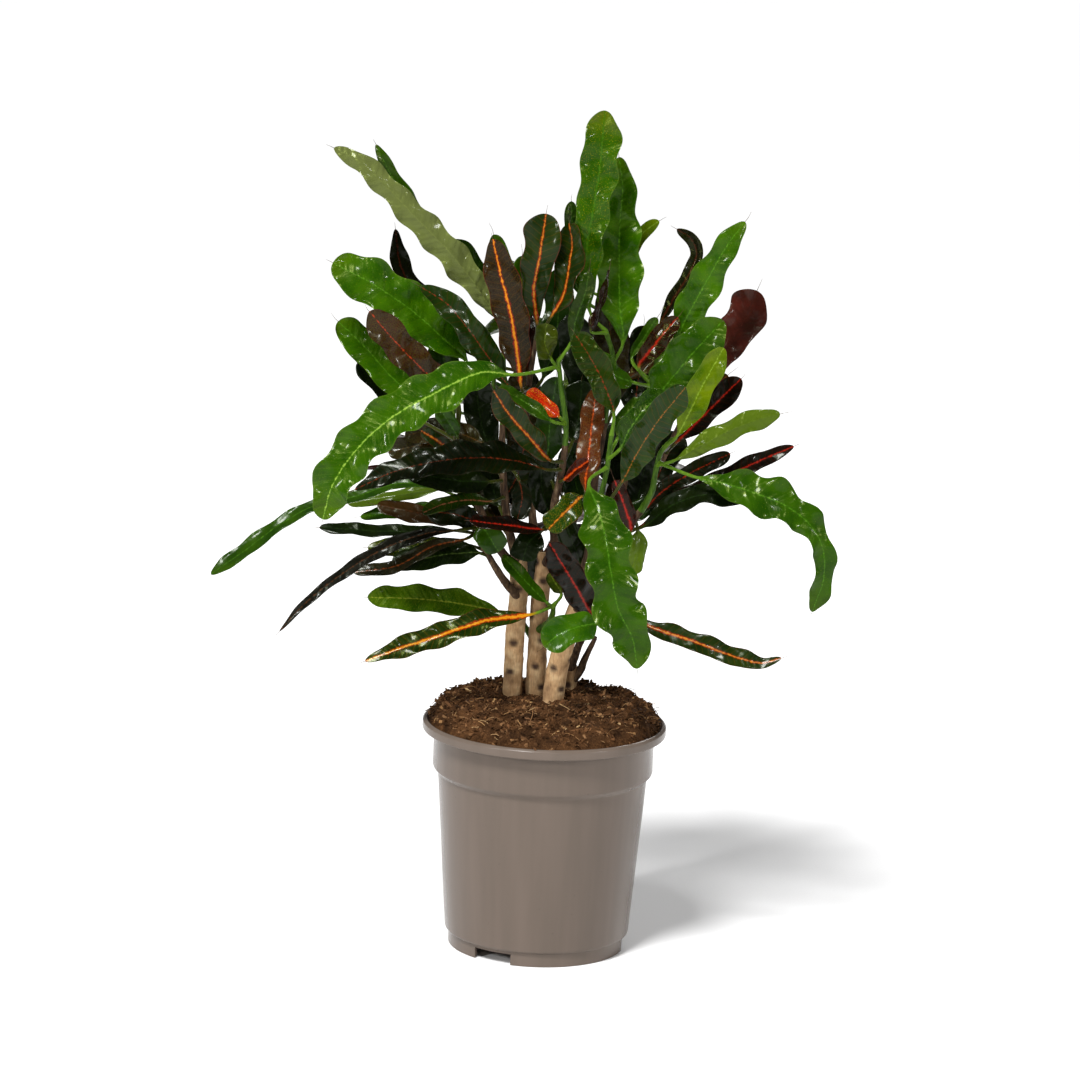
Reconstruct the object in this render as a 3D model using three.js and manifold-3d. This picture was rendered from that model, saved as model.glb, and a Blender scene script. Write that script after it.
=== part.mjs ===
// A potted croton: a nursery pot filled with compost, four woody trunks standing in it, and leafy
// shoots that branch from the trunks. Millimetres, +Z up, and -Y is the side that the plant shows
// best. The origin lies on the floor under the middle of the whole plant's extents.
import * as THREE from "three";
import { mergeVertices } from "three/addons/utils/BufferGeometryUtils.js";
import Module from "manifold-3d";

// --- driving dimensions -------------------------------------------------------------------------

const FIT_GAP = 0.3; // clearance between two pieces that touch
const SINK = 2; // how far a cutter runs past what it cuts
const SLIVER = 0.03; // edges and slivers of a fused body smaller than this are closed up

// The pot: a 21 cm nursery pot with a rolled rim, a straight collar and a tapered wall.
const POT_HEIGHT = 200;
const RIM_RADIUS = 105.4;
const RIM_HEIGHT = 9;
const LIP_WIDTH = 3.5;
const COLLAR_RADIUS = 95.3;
const COLLAR_FOOT = 155;
const WALL_TOP_RADIUS = 90.5;
const WALL_FOOT_RADIUS = 80;
const WALL_FOOT = 15;
const WALL = 2.2;
const FILLET = 2; // size of the pot's rounded or slanted edges
const FOOT_RADIUS = 76.5;
const FOOT_HEIGHT = 13;
const FOOT_WALL = 3;
const BASE_HEIGHT = 10; // underside of the raised base plate
const POT_SIDES = 30;
const NOTCH_COUNT = 3;
const NOTCH_ANGLE = 27; // degrees of the foot ring that one opening takes
const NOTCH_CENTRE = -119.5; // degrees from +X, the middle of the opening at the front
const NOTCH_TOP = 9.8;
const DRAIN_COUNT = 6;
const DRAIN_RADIUS = 5;
const DRAIN_CIRCLE = 48;
const DRAIN_SIDES = 8;

// The compost: it fills the pot level with the rim and heaps up slightly round the stems.
const COMPOST_EDGE = 198;
const COMPOST_HEAP = 19;
const COMPOST_BANK = 7; // how far in from the edge the heap has mostly risen
const COMPOST_LUMP = [-2.2, 4.2]; // how much lower or higher a lump stands
const COMPOST_RINGS = 5;
const RING_CROWDING = 1.7; // how much closer the rings of the heap stand near its edge
const COMPOST_SEED = 11;

// The trunks, as points on their axis [x, y, z] and a radius at each point.
const TRUNK_SIDES = 10;
const TRUNK_STEP = 22;
const TRUNKS = {
  trunk_left: {
    axis: [[-29, 18, 110], [-29, 18, 212], [-28.5, 18, 270], [-27, 17, 318], [-29, 16, 340]],
    radii: [8, 8.9, 8.6, 8],
  },
  trunk_middle: {
    axis: [[-8, 27, 110], [-9, 27, 212], [-8.5, 26, 276], [-8, 25, 304], [-4, 26, 342]],
    radii: [8, 9.6, 9.2, 8.2, 7.4],
  },
  trunk_right: {
    axis: [[5, 4, 110], [6, 4, 212], [10.5, 3, 252], [17.5, 0, 278], [34, -4, 333], [39, -5, 348]],
    radii: [8, 10, 9.6, 8.4, 7.4],
  },
  trunk_back: {
    axis: [[21, 50, 110], [21, 50, 212], [21.5, 49, 237]],
    radii: [5.6, 6.2, 5.6],
  },
};

// The shoots: each one's axis runs from inside its trunk to its growing tip. A dark woody stem
// reaches up to the share `split` of the length, and the green stem of this year stands on it.
// The last shoot is a bare twig.
const STEM_SIDES = 5;
const STEM_STEP = 22;
const STEM_FOOT_RADIUS = 4.4;
const STEM_TIP_RADIUS = 2.1;
const CHANGE_MARGIN = 9; // no stalk stands this near the change from wood to green stem
const STALKS_FROM = 24; // no stalk stands this near the foot of a shoot
const STALKS_FROM_SHARE = 0.3; // or this near it on a short one
const TRUNK_MARGIN = 0.4; // the gap between a trunk and the foot of a shoot
const SHOOTS = {
  a: { split: 0.62,
    axis: [[-4, 20, 334], [2, 4, 352], [0, -6, 384], [6, -16, 424], [8, -22, 462], [2, -24, 500],
      [-1, -24, 522]] },
  b: { split: 0.46,
    axis: [[38, -5, 342], [52, -9, 362], [70, -14, 384], [84, -20, 412], [86, -23, 430], [90, -25, 446],
      [99, -27, 458]] },
  c: { split: 0.6,
    axis: [[35, -2, 338], [33, 12, 366], [34, 18, 400], [40, 20, 450], [44, 20, 490], [46, 20, 516],
      [38, 16, 542]] },
  d: { split: 1,
    axis: [[-6, 26, 330], [-14, 32, 352], [-20, 32, 400], [-26, 26, 450], [-24, 16, 500], [-20, 10, 534]] },
  e: { split: 0.66,
    axis: [[-28, 14, 334], [-36, 2, 362], [-42, 2, 396], [-46, 0, 440], [-46, -4, 484], [-48, -4, 526]] },
  f: { split: 0.8,
    axis: [[-28, 18, 326], [-48, 18, 350], [-64, 10, 384], [-80, -2, 424], [-88, -8, 462], [-90, -8, 490]] },
  g: { split: 1,
    axis: [[-26, 14, 304], [-40, 2, 322], [-52, -6, 342], [-62, -12, 360], [-66, -14, 374]] },
  h: { split: 0.6,
    axis: [[32, -4, 326], [48, 6, 350], [58, 8, 400], [68, 8, 450], [78, 8, 492], [84, 8, 522]] },
  k: { split: 0.55,
    axis: [[-5, 28, 336], [6, 42, 358], [16, 54, 420], [26, 60, 480], [34, 62, 530], [42, 60, 560]] },
  n: { split: 1,
    axis: [[26, -3, 304], [42, 16, 330], [66, 32, 372], [90, 38, 420], [104, 40, 452], [112, 40, 474]] },
  p: { split: 0.55,
    axis: [[-27, 20, 320], [-34, 38, 346], [-46, 58, 392], [-54, 72, 444], [-56, 78, 486]] },
  q: { split: 0.6,
    axis: [[24, -2, 296], [25, -20, 318], [30, -26, 350], [36, -30, 386], [44, -34, 430], [47, -36, 462]] },
  r: { split: 0.55,
    axis: [[-8, 27, 312], [8, 46, 340], [26, 66, 388], [40, 80, 440], [46, 86, 482]] },
  low_a: { split: 0,
    axis: [[-8, 22, 274], [0, 8, 284], [3, -4, 294], [4, -12, 306]] },
  low_b: { split: 1,
    axis: [[21, 48, 233], [24, 42, 247], [29, 32, 264], [37, 18, 280], [48.6, 4.4, 290.6]] },
  low_c: { split: 0,
    axis: [[-9, 26, 262], [-16, 34, 268], [-22, 40, 276]] },
  low_d: { split: 1,
    axis: [[23, 49, 224], [29, 48, 232], [32.5, 46, 243], [37, 45, 254], [42, 44, 265]] },
};

// The leaves that the front of the plant shows. A point is [across, up, depth], where up is the
// height at which the point seems to stand on the plane through the pot's axis for a viewer
// VIEW_ANGLE degrees above the horizon. The first point is the foot of the blade, the last its
// tip. Width is one number, or a list from the foot to the tip. `turn` tips the upper face up
// from the viewer, in degrees, and `under` shows the lower face.
const VIEW_ANGLE = 12.5;
const LEAVES = [
  // the big arching leaves in front
  { shoot: "a", width: [24, 34, 38, 38, 37, 36], turn: 12, wave: 1.3, path: [[-37, 500, -62], [-65, 500, -84],
    [-100, 482, -100], [-139, 457, -110], [-170, 424, -116], [-185, 398, -118], [-192, 369, -116]] },
  { shoot: "q", width: [38, 42, 40, 38, 40, 33, 24], turn: 0, wave: 1.6, path: [[29, 410, -60],
    [38, 387, -78], [46, 357, -92], [51, 331, -98], [58, 302, -100], [71, 277, -98], [76, 251, -94]] },
  { shoot: "b", width: [26, 33, 37, 28, 19, 19, 22], turn: 15, wave: 1.6, path: [[118, 419, -46],
    [144, 414, -58], [172, 406, -64], [195, 397, -68], [214, 384, -70], [228, 363, -70],
    [231, 340, -68], [223, 306, -62]] },
  // the crown's top
  { shoot: "c", width: [20, 26, 28, 32, 34], turn: 8, wave: 1.2, path: [[26, 556, 4], [20, 590, 0],
    [20, 618, 0], [24, 650, 0], [27, 676, 2], [29, 706, 4], [30, 732, 6]] },
  { shoot: "c", width: [28, 37, 40, 36, 24, 20], turn: -8, wave: 1.2, path: [[53, 530, 20], [50, 565, 22],
    [48, 600, 26], [47, 640, 30], [48, 670, 32], [44, 695, 34]] },
  { shoot: "d", old: true, width: [15, 22, 30, 34], turn: 6, path: [[-20, 546, -2], [-24, 575, -8],
    [-20, 605, -12], [-16, 641, -10]] },
  { shoot: "d", old: true, width: [14, 24, 30, 26], turn: 38, path: [[-9, 552, -12], [0, 568, -18],
    [5, 595, -22], [7, 613, -22], [4, 634, -20]] },
  { shoot: "d", old: true, width: [16, 27, 29, 22], turn: 4, path: [[-31, 490, -16], [-35, 514, -22],
    [-43, 555, -28], [-52, 585, -32], [-60, 616, -34]] },
  { shoot: "d", old: true, width: 23, turn: 10, path: [[-26, 502, 2], [-33, 545, -3], [-41, 575, -6],
    [-49, 604, -6]] },
  { shoot: "e", width: 18, turn: 10, path: [[-38, 540, 16], [-50, 590, 18], [-60, 623, 18]] },
  { shoot: "e", width: 17, turn: 0, path: [[-30, 548, 6], [-34, 580, 4], [-35, 605, 4]] },
  { shoot: "e", width: 20, turn: 10, path: [[-50, 546, 24], [-66, 577, 26], [-81, 601, 26], [-98, 616, 24]] },
  { shoot: "a", width: 14, turn: 20, path: [[9, 530, -28], [13, 552, -32], [20, 575, -34], [22, 592, -34]] },
  { shoot: "a", width: 22, turn: 30, path: [[-7, 516, -32], [-13, 530, -38], [-12, 546, -36]] },
  { shoot: "k", width: 12, turn: 20, path: [[50, 592, 60], [60, 616, 62], [68, 633, 62], [81, 643, 60]] },
  { shoot: "k", width: 14, turn: 10, path: [[16, 575, 46], [8, 615, 44], [5, 656, 44]] },
  { shoot: "c", width: 16, turn: 76, path: [[26, 542, 2], [33, 562, -5], [37, 578, -8], [39, 594, -8]] },
  // the upper left
  { shoot: "e", width: [20, 26, 24, 19, 17], turn: 0, under: true, wave: 1.6, path: [[-50, 541, -6],
    [-67, 569, -10], [-95, 603, -14], [-127, 634, -16], [-154, 661, -14], [-175, 679, -10],
    [-197, 690, -4]] },
  { shoot: "e", width: [12, 16, 17, 12], turn: 10, path: [[-50, 549, 10], [-73, 577, 12], [-102, 610, 10],
    [-129, 640, 8], [-147, 667, 6], [-162, 695, 4]] },
  { shoot: "f", width: [22, 36, 40, 40, 38], turn: 14, path: [[-78, 508, -6], [-101, 532, -8],
    [-126, 553, -10], [-161, 575, -12], [-195, 592, -6]] },
  { shoot: "f", width: [18, 28, 29, 28], turn: 14, path: [[-105, 470, 10], [-140, 494, 14], [-165, 520, 18],
    [-190, 543, 20]] },
  { shoot: "f", old: true, width: 27, turn: 10, path: [[-87, 478, -20], [-113, 500, -26],
    [-140, 526, -30], [-160, 548, -30]] },
  { shoot: "d", old: true, width: [20, 24, 20, 13], turn: 26, path: [[-66, 514, 10], [-98, 546, 14],
    [-124, 568, 20], [-139, 595, 26], [-144, 625, 30]] },
  { shoot: "d", old: true, width: [20, 26, 24, 18], turn: 22, path: [[-40, 490, -8], [-62, 518, -12],
    [-80, 541, -16], [-96, 559, -16], [-119, 573, -12]] },
  { shoot: "f", old: true, width: 15, turn: 20, path: [[-120, 462, 22], [-150, 484, 30], [-173, 508, 34]] },
  // the right
  { shoot: "h", width: [20, 28, 29, 21, 17], turn: 6, path: [[95, 532, 4], [107, 558, 0], [124, 593, -6],
    [139, 622, -8], [152, 641, -8]] },
  { shoot: "h", width: [26, 38, 38, 28], turn: 6, path: [[78, 480, -14], [94, 501, -24], [112, 525, -28],
    [137, 555, -28]] },
  { shoot: "n", old: true, width: [18, 24, 34, 38], turn: 14, path: [[122, 494, 36], [139, 528, 40],
    [154, 552, 42], [167, 585, 40]] },
  { shoot: "h", width: 12, turn: 20, path: [[84, 548, 24], [96, 575, 30], [108, 597, 34], [114, 614, 36],
    [107, 629, 36], [96, 635, 34]] },
  { shoot: "b", width: [12, 22, 22, 18], turn: 0, path: [[101, 452, -30], [110, 470, -32], [120, 494, -34],
    [138, 531, -32]] },
  { shoot: "n", old: true, width: [14, 18, 20, 20], turn: 6, path: [[102, 448, 12], [115, 462, 12],
    [134, 483, 14], [156, 507, 14]] },
  { shoot: "n", old: true, width: 12, turn: 10, path: [[118, 480, 26], [130, 496, 26], [145, 510, 26]] },
  { shoot: "b", width: [12, 18, 18, 16], turn: 0, under: true, wave: 1.5, path: [[100, 432, -36],
    [122, 446, -41], [150, 462, -46], [170, 471, -48], [188, 476, -48]] },
  { shoot: "h", width: 17, turn: 10, path: [[68, 512, -2], [80, 532, -6], [99, 557, -8]] },
  { shoot: "h", width: 10, turn: 0, path: [[62, 520, 14], [72, 540, 16], [82, 557, 16]] },
  { shoot: "q", old: true, width: 20, turn: 6, path: [[27, 402, -50], [28, 430, -62], [30, 462, -68],
    [33, 493, -68]] },
  { shoot: "q", width: 24, turn: 8, path: [[48, 470, -40], [42, 488, -44], [32, 508, -46], [12, 538, -44]] },
  { shoot: "h", width: 22, turn: 34, path: [[64, 499, -14], [48, 504, -26], [34, 514, -30], [21, 525, -32]] },
  { shoot: "c", width: 14, turn: 0, under: true, path: [[56, 502, 4], [76, 518, -2], [97, 543, -6]] },
  { shoot: "q", width: 20, turn: 16, path: [[54, 440, -46], [62, 458, -56], [75, 477, -60], [90, 491, -60]] },
  { shoot: "q", old: true, width: 26, turn: 14, path: [[56, 410, -40], [70, 440, -46], [84, 464, -48],
    [105, 493, -48]] },
  { shoot: "q", width: 15, turn: 30, path: [[52, 450, -24], [58, 470, -22], [72, 484, -18]] },
  { shoot: "b", old: true, width: 15, turn: 6, path: [[74, 384, -8], [90, 403, -6], [112, 420, -4],
    [149, 441, -2]] },
  { shoot: "b", old: true, width: [12, 16, 16, 12], turn: 8, path: [[72, 372, 0], [106, 398, 6],
    [142, 418, 12], [175, 436, 16], [204, 450, 16]] },
  { shoot: "b", old: true, width: 20, turn: 30, path: [[75, 373, -14], [100, 393, -20], [128, 404, -24],
    [164, 400, -26]] },
  { shoot: "b", old: true, width: 14, turn: 20, path: [[67, 370, -26], [60, 392, -34], [51, 413, -38]] },
  { shoot: "b", old: true, width: 17, turn: 0, under: true, path: [[73, 372, -10], [73, 356, -14],
    [69, 332, -16]] },
  // the middle
  { shoot: "a", old: true, width: [20, 29, 30, 22, 14], turn: 24, path: [[-6, 420, -34], [-30, 426, -46],
    [-60, 428, -56], [-100, 423, -62], [-137, 412, -62], [-168, 396, -58]] },
  { shoot: "a", width: 12, turn: 20, path: [[-4, 462, -44], [-22, 474, -54], [-50, 489, -56]] },
  { shoot: "a", old: true, width: 22, turn: 20, path: [[-4, 428, -32], [-24, 448, -44], [-44, 470, -48],
    [-54, 485, -48]] },
  { shoot: "a", width: 13, turn: 10, path: [[2, 466, -34], [-10, 476, -38], [-26, 487, -38]] },
  { shoot: "a", old: true, width: 12, turn: 30, path: [[8, 412, -34], [18, 421, -46], [28, 429, -54]] },
  { shoot: "q", old: true, width: 22, turn: 10, path: [[24, 398, -44], [12, 386, -54], [-4, 368, -58]] },
  { shoot: "a", old: true, width: 16, turn: 40, path: [[-8, 368, -22], [-22, 369, -34], [-45, 371, -44],
    [-70, 373, -50]] },
  { shoot: "e", old: true, width: 16, turn: 0, path: [[-30, 410, -22], [-27, 396, -28], [-30, 376, -32]] },
  { shoot: "a", old: true, width: 24, turn: 6, path: [[-10, 366, -18], [-20, 356, -26], [-24, 340, -28]] },
  // the left, low whorl
  { shoot: "f", old: true, width: [10, 15, 15, 14, 15, 18, 21], turn: 40, wave: 0.6, path: [[-84, 395, 12],
    [-104, 402, 14], [-129, 404, 16], [-172, 390, 12], [-207, 380, 8], [-238, 360, 2], [-263, 339, -4],
    [-291, 317, -10]] },
  { shoot: "g", old: true, width: [12, 13, 11, 8, 5], turn: 10, path: [[-78, 365, -20], [-105, 361, -32],
    [-142, 346, -42], [-179, 321, -46], [-211, 292, -48], [-229, 270, -48]] },
  { shoot: "g", old: true, width: 14, turn: 40, path: [[-80, 364, -6], [-110, 362, -10], [-156, 361, -14],
    [-199, 362, -16]] },
  { shoot: "g", old: true, width: 18, turn: 30, under: true, path: [[-78, 372, 0], [-114, 378, -4],
    [-151, 384, -8]] },
  { shoot: "g", old: true, width: 24, turn: 30, path: [[-60, 345, -12], [-82, 344, -16], [-108, 339, -18],
    [-136, 333, -18]] },
  { shoot: "g", old: true, width: 18, turn: 30, path: [[-74, 352, 6], [-110, 347, 8], [-158, 346, 10]] },
  { shoot: "g", old: true, width: 12, turn: 20, path: [[-72, 358, -24], [-100, 350, -32],
    [-132, 331, -36], [-168, 324, -38]] },
  { shoot: "f", old: true, width: 14, turn: 40, path: [[-86, 384, 26], [-130, 379, 34], [-166, 373, 36]] },
  { shoot: "f", old: true, width: 11, turn: 20, under: true, path: [[-96, 400, 34], [-135, 393, 40],
    [-177, 384, 44]] },
  { shoot: "e", old: true, width: 14, turn: 30, path: [[-52, 391, -22], [-74, 391, -32], [-92, 387, -38],
    [-111, 378, -40]] },
  { shoot: "g", old: true, width: 22, turn: 0, path: [[-62, 372, -26], [-55, 362, -32], [-45, 347, -32]] },
  { shoot: "e", old: true, width: 24, turn: 20, path: [[-54, 408, -10], [-88, 408, -20], [-126, 415, -24]] },
  { shoot: "f", old: true, width: 14, turn: 78, path: [[-94, 420, -20], [-125, 417, -26], [-166, 414, -30]] },
  { shoot: "f", old: true, width: 14, turn: 10, path: [[-84, 446, -20], [-92, 458, -26], [-100, 470, -28]] },
  { shoot: "e", old: true, width: 20, turn: 10, path: [[-58, 440, -22], [-78, 448, -32], [-102, 452, -40],
    [-130, 446, -44]] },
  { shoot: "f", old: true, width: 13, turn: 10, path: [[-88, 432, -24], [-100, 441, -36],
    [-114, 449, -42]] },
  // the low leaves round the trunks
  { shoot: "low_a", width: [14, 22, 22, 12], turn: 24, path: [[-10, 295, -20], [-55, 286, -32],
    [-89, 273, -40], [-124, 260, -46], [-155, 247, -50]] },
  { shoot: "low_c", width: [18, 24, 24, 21], turn: 20, path: [[-38, 291, 40], [-62, 297, 36],
    [-107, 302, 26], [-157, 302, 16]] },
  { shoot: "low_b", old: true, width: [10, 17, 18, 10], turn: 20, path: [[62, 295, -8], [92, 285, -22],
    [129, 274, -30], [162, 263, -34], [184, 259, -36], [200, 264, -36]] },
  { shoot: "low_b", old: true, width: 24, turn: 0, path: [[38, 295, -8], [21, 321, -24], [-2, 356, -36]] },
  { shoot: "low_b", old: true, width: 27, turn: 10, path: [[42, 288, -30], [24, 284, -46], [8, 276, -52],
    [-3, 266, -54]] },
  { shoot: "low_a", width: 13, turn: 20, path: [[-2, 304, -20], [-20, 321, -28], [-42, 344, -32]] },
  { shoot: "low_a", width: 12, turn: 20, path: [[10, 312, -18], [4, 322, -22], [-1, 331, -22]] },
  // the dark leaves that show between the others, behind them
  { shoot: "d", old: true, behind: true, width: 26, turn: 10, path: [[-14, 500, 34], [-5, 530, 38],
    [-2, 565, 40], [-4, 598, 40]] },
  { shoot: "c", old: true, behind: true, width: 30, turn: 10, path: [[30, 474, 36], [22, 500, 44],
    [14, 528, 50], [8, 558, 52]] },
  { shoot: "c", old: true, behind: true, width: 30, turn: 10, path: [[47, 474, 40], [47, 505, 48],
    [43, 540, 52], [40, 582, 52]] },
  { shoot: "h", old: true, behind: true, width: 27, turn: 10, path: [[66, 466, 24], [68, 494, 30],
    [71, 524, 32], [72, 552, 32]] },
  { shoot: "a", old: true, behind: true, width: 26, turn: 10, path: [[14, 446, 4], [19, 470, 8],
    [20, 500, 8]] },
  { shoot: "a", old: true, behind: true, width: 24, turn: 10, path: [[-6, 422, 4], [-6, 450, 8],
    [-2, 502, 8]] },
  { shoot: "e", old: true, behind: true, width: 26, turn: 10, path: [[-52, 426, 20], [-61, 448, 26],
    [-68, 476, 30], [-70, 500, 30]] },
  { shoot: "d", old: true, behind: true, width: 28, turn: 10, path: [[-28, 424, 44], [-30, 460, 50],
    [-28, 510, 52]] },
  { shoot: "n", old: true, behind: true, width: 24, turn: 10, path: [[86, 412, 50], [95, 434, 56],
    [108, 458, 58]] },
  { shoot: "b", old: true, behind: true, width: 26, turn: 10, path: [[70, 388, 10], [75, 412, 16],
    [78, 440, 18]] },
  { shoot: "f", old: true, behind: true, width: 26, turn: 10, path: [[-84, 474, 24], [-94, 500, 30],
    [-104, 530, 32]] },
  { shoot: "e", old: true, behind: true, width: 20, turn: 10, path: [[-46, 386, 20], [-53, 404, 24],
    [-58, 428, 26]] },
  { shoot: "f", old: true, behind: true, width: 20, turn: 10, path: [[-86, 436, 16], [-108, 439, 22],
    [-144, 431, 24]] },
  { shoot: "e", old: true, behind: true, width: 24, turn: 10, path: [[-42, 392, 22], [-33, 412, 28],
    [-26, 444, 28]] },
  { shoot: "a", old: true, behind: true, width: 24, turn: 10, path: [[-2, 378, 14], [-9, 398, 18],
    [-12, 432, 18]] },
  { shoot: "c", old: true, behind: true, width: 26, turn: 10, path: [[28, 386, 30], [19, 408, 38],
    [14, 446, 40]] },
  { shoot: "h", old: true, behind: true, width: 26, turn: 10, path: [[55, 404, 22], [50, 428, 28],
    [44, 462, 30]] },
  { shoot: "e", old: true, behind: true, width: 22, turn: 10, path: [[-44, 370, 14], [-54, 384, 20],
    [-70, 402, 22]] },
  { shoot: "g", old: true, behind: true, width: 20, turn: 10, path: [[-60, 368, 8], [-78, 377, 12],
    [-108, 380, 14]] },
  { shoot: "q", old: true, behind: true, width: 20, turn: 10, path: [[25, 338, -4], [20, 352, 2],
    [10, 376, 6]] },
  { shoot: "b", old: true, behind: true, width: 18, turn: 10, path: [[64, 378, 0], [78, 391, 6],
    [98, 402, 8]] },
  { shoot: "d", old: true, behind: true, width: 20, turn: 10, path: [[-14, 350, 44], [-18, 334, 52],
    [-24, 308, 54]] },
];

// What a leaf is made of: a stalk of diamond section that widens into a thin blade. The blade is
// a shallow gutter whose edges wave up and down and in and out.
const STALK_RADIUS = 1.5;
const STALK_REACH = 14; // a stalk leaves the stem nearest to a point this far behind the blade
const ROOT_STEPS = 40;
const BLADE_THICKNESS = 1.6;
const BLADE_STEP = 20;
const BLADE_STEPS_MIN = 3;
const BLADE_STEPS_MAX = 9;
const BLADE_LEAD = 0.15; // how far into its step each section of the blade stands
const TAPER_SHARE = 0.34; // share of the blade over which it widens from the stalk
const THINNING_SHARE = 0.17; // share over which it thins from the stalk
const TIP_SHARE = 0.2; // share of the blade that rounds off
const CARRY = 0.35; // how much of its slant across the blade carries on to the next step
const GUTTER = 0.16; // rise of an edge for each millimetre of half width
const WAVE_LENGTH = 34;
const WAVE_RISE = 0.16;
const WAVE_SCALLOP = 0.09;

// Leaves keep this far apart. One that would come nearer swings its tip in depth, step by step,
// which leaves its outline from the front as it was.
const CLEARANCE = 6;
const CLEAR_STEP = 7;
const AXIS_STEP = 5;
const OWN_REACH = 26; // leaves of one shoot may meet this near their stem
const NEAR_CLEARANCE = 3.4; // but the stalks of old and young leaves keep this far apart
const SWING_STEP = 9;
const SWING_COUNT = 26;
const SWING_AT_FOOT = 0.25; // share of the tip's swing by which the foot of the blade swings

// The leaves that the front hides: drawn by rule round each shoot, most of them on its back.
const FILL_SEED = 20;
const FILL = [
  { shoot: "a", count: 6, from: 20, to: 150, mature: 1 },
  { shoot: "c", count: 5, from: 10, to: 170, mature: 1 },
  { shoot: "q", count: 3, from: 20, to: 160, mature: 1 },
  { shoot: "d", count: 3, from: 30, to: 150, mature: 1 },
  { shoot: "e", count: 3, from: 30, to: 150, mature: 1 },
  { shoot: "h", count: 3, from: 60, to: 170, mature: 1 },
  { shoot: "f", count: 2, from: 30, to: 150, mature: 1 },
  { shoot: "n", count: 3, from: 20, to: 110, mature: 1 },
  { shoot: "k", count: 8, from: 10, to: 170, mature: 0.3 },
  { shoot: "p", count: 7, from: 50, to: 210, mature: 0.45 },
  { shoot: "r", count: 7, from: -20, to: 140, mature: 0.45 },
];
const FILL_LENGTH = [90, 145];
const FILL_WIDTH = [17, 32];
const FILL_RISE = [10, 62]; // degrees above the horizon at the foot of the blade
const FILL_DROOP = [20, 85]; // degrees that it bends down on its way to the tip
const FILL_STALK = 18;
const FILL_STEPS = 5;
const FILL_ROLL = 0.45; // radians by which a blade tips over either way
const FILL_TRIES = 6; // leaves drawn for each one wanted
const FILL_SWING_COUNT = 9;
const FILL_ENVELOPE = { x: -8, up: 452, halfAcross: 150, halfUp: 150, depth: 188 };

const BARK = 0x8a7560;
const WOODY_GREEN = 0x2a1c16;
const LEAF_GREEN = 0x3d7d12;
const POT_TAUPE = 0x877a70;
const COMPOST_BROWN = 0x3a2a20;

// --- small vector tools -------------------------------------------------------------------------

const add = (a, b, k = 1) => [a[0] + b[0] * k, a[1] + b[1] * k, a[2] + b[2] * k];
const sub = (a, b) => [a[0] - b[0], a[1] - b[1], a[2] - b[2]];
const dot = (a, b) => a[0] * b[0] + a[1] * b[1] + a[2] * b[2];
const cross = (a, b) => [
  a[1] * b[2] - a[2] * b[1],
  a[2] * b[0] - a[0] * b[2],
  a[0] * b[1] - a[1] * b[0],
];
const size = (a) => Math.sqrt(dot(a, a));
const unit = (a) => add([0, 0, 0], a, 1 / size(a));
const mix = (a, b, t) => a + (b - a) * t;
const radians = (angle) => (angle * Math.PI) / 180;
const clamp = (value, low, high) => Math.min(high, Math.max(low, value));

// A plain seeded generator of numbers from 0 to 1.
function seeded(seed) {
  let state = seed * 7919 + 1;
  return () => {
    state = (state * 16807) % 2147483647;
    return state / 2147483647;
  };
}

const CURVE_STEPS = 12; // from one given point of a curve to the next

// A smooth curve through the points, as a dense run of [point, length so far]. Also gives the
// length at which each of the given points lies.
function curveThrough(points) {
  const knots = [0];
  for (let i = 1; i < points.length; i += 1) {
    knots.push(knots[i - 1] + size(sub(points[i], points[i - 1])));
  }
  const last = points.length - 1;
  const slope = (i) => {
    const step = (j) => add([0, 0, 0], sub(points[j + 1], points[j]), 1 / (knots[j + 1] - knots[j]));
    if (i === 0) return step(0);
    if (i === last) return step(last - 1);
    const before = knots[i] - knots[i - 1];
    const after = knots[i + 1] - knots[i];
    const share = after / (before + after);
    return add(add([0, 0, 0], step(i - 1), share), step(i), 1 - share);
  };
  const run = [[points[0], 0]];
  const marks = [0];
  for (let i = 0; i < last; i += 1) {
    const span = knots[i + 1] - knots[i];
    const [from, to] = [slope(i), slope(i + 1)];
    for (let k = 1; k <= CURVE_STEPS; k += 1) {
      const t = k / CURVE_STEPS;
      const ahead = 3 * t ** 2 - 2 * t ** 3;
      let point = add([0, 0, 0], points[i], 1 - ahead);
      point = add(point, from, (t ** 3 - 2 * t ** 2 + t) * span);
      point = add(point, points[i + 1], ahead);
      point = add(point, to, (t ** 3 - t ** 2) * span);
      const [before, length] = run[run.length - 1];
      run.push([point, length + size(sub(point, before))]);
    }
    marks.push(run[run.length - 1][1]);
  }
  return { run, marks, length: run[run.length - 1][1] };
}

// The point and the direction of a curve at a length from its start.
function along(curve, length) {
  const { run } = curve;
  const at = clamp(length, 0, curve.length);
  let i = 1;
  while (i < run.length - 1 && run[i][1] < at) i += 1;
  const [a, la] = run[i - 1];
  const [b, lb] = run[i];
  const t = lb > la ? (at - la) / (lb - la) : 0;
  const back = run[Math.max(0, i - 2)][0];
  const ahead = run[Math.min(run.length - 1, i + 1)][0];
  return { point: add(a, sub(b, a), t), direction: unit(sub(ahead, back)) };
}

// A value from a list of values spread evenly from 0 to 1.
function spread(list, share) {
  if (typeof list === "number") return list;
  const place = clamp(share, 0, 1) * (list.length - 1);
  const i = Math.min(list.length - 2, Math.floor(place));
  const t = place - i;
  return mix(list[i], list[i + 1], t * t * (3 - 2 * t));
}

// --- solids -------------------------------------------------------------------------------------

const wasm = await Module();
wasm.setup();

function geometryFrom(vertices, faces) {
  const geometry = new THREE.BufferGeometry();
  geometry.setAttribute("position", new THREE.Float32BufferAttribute(vertices.flat(), 3));
  geometry.setIndex(faces.flat());
  return geometry;
}

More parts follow.
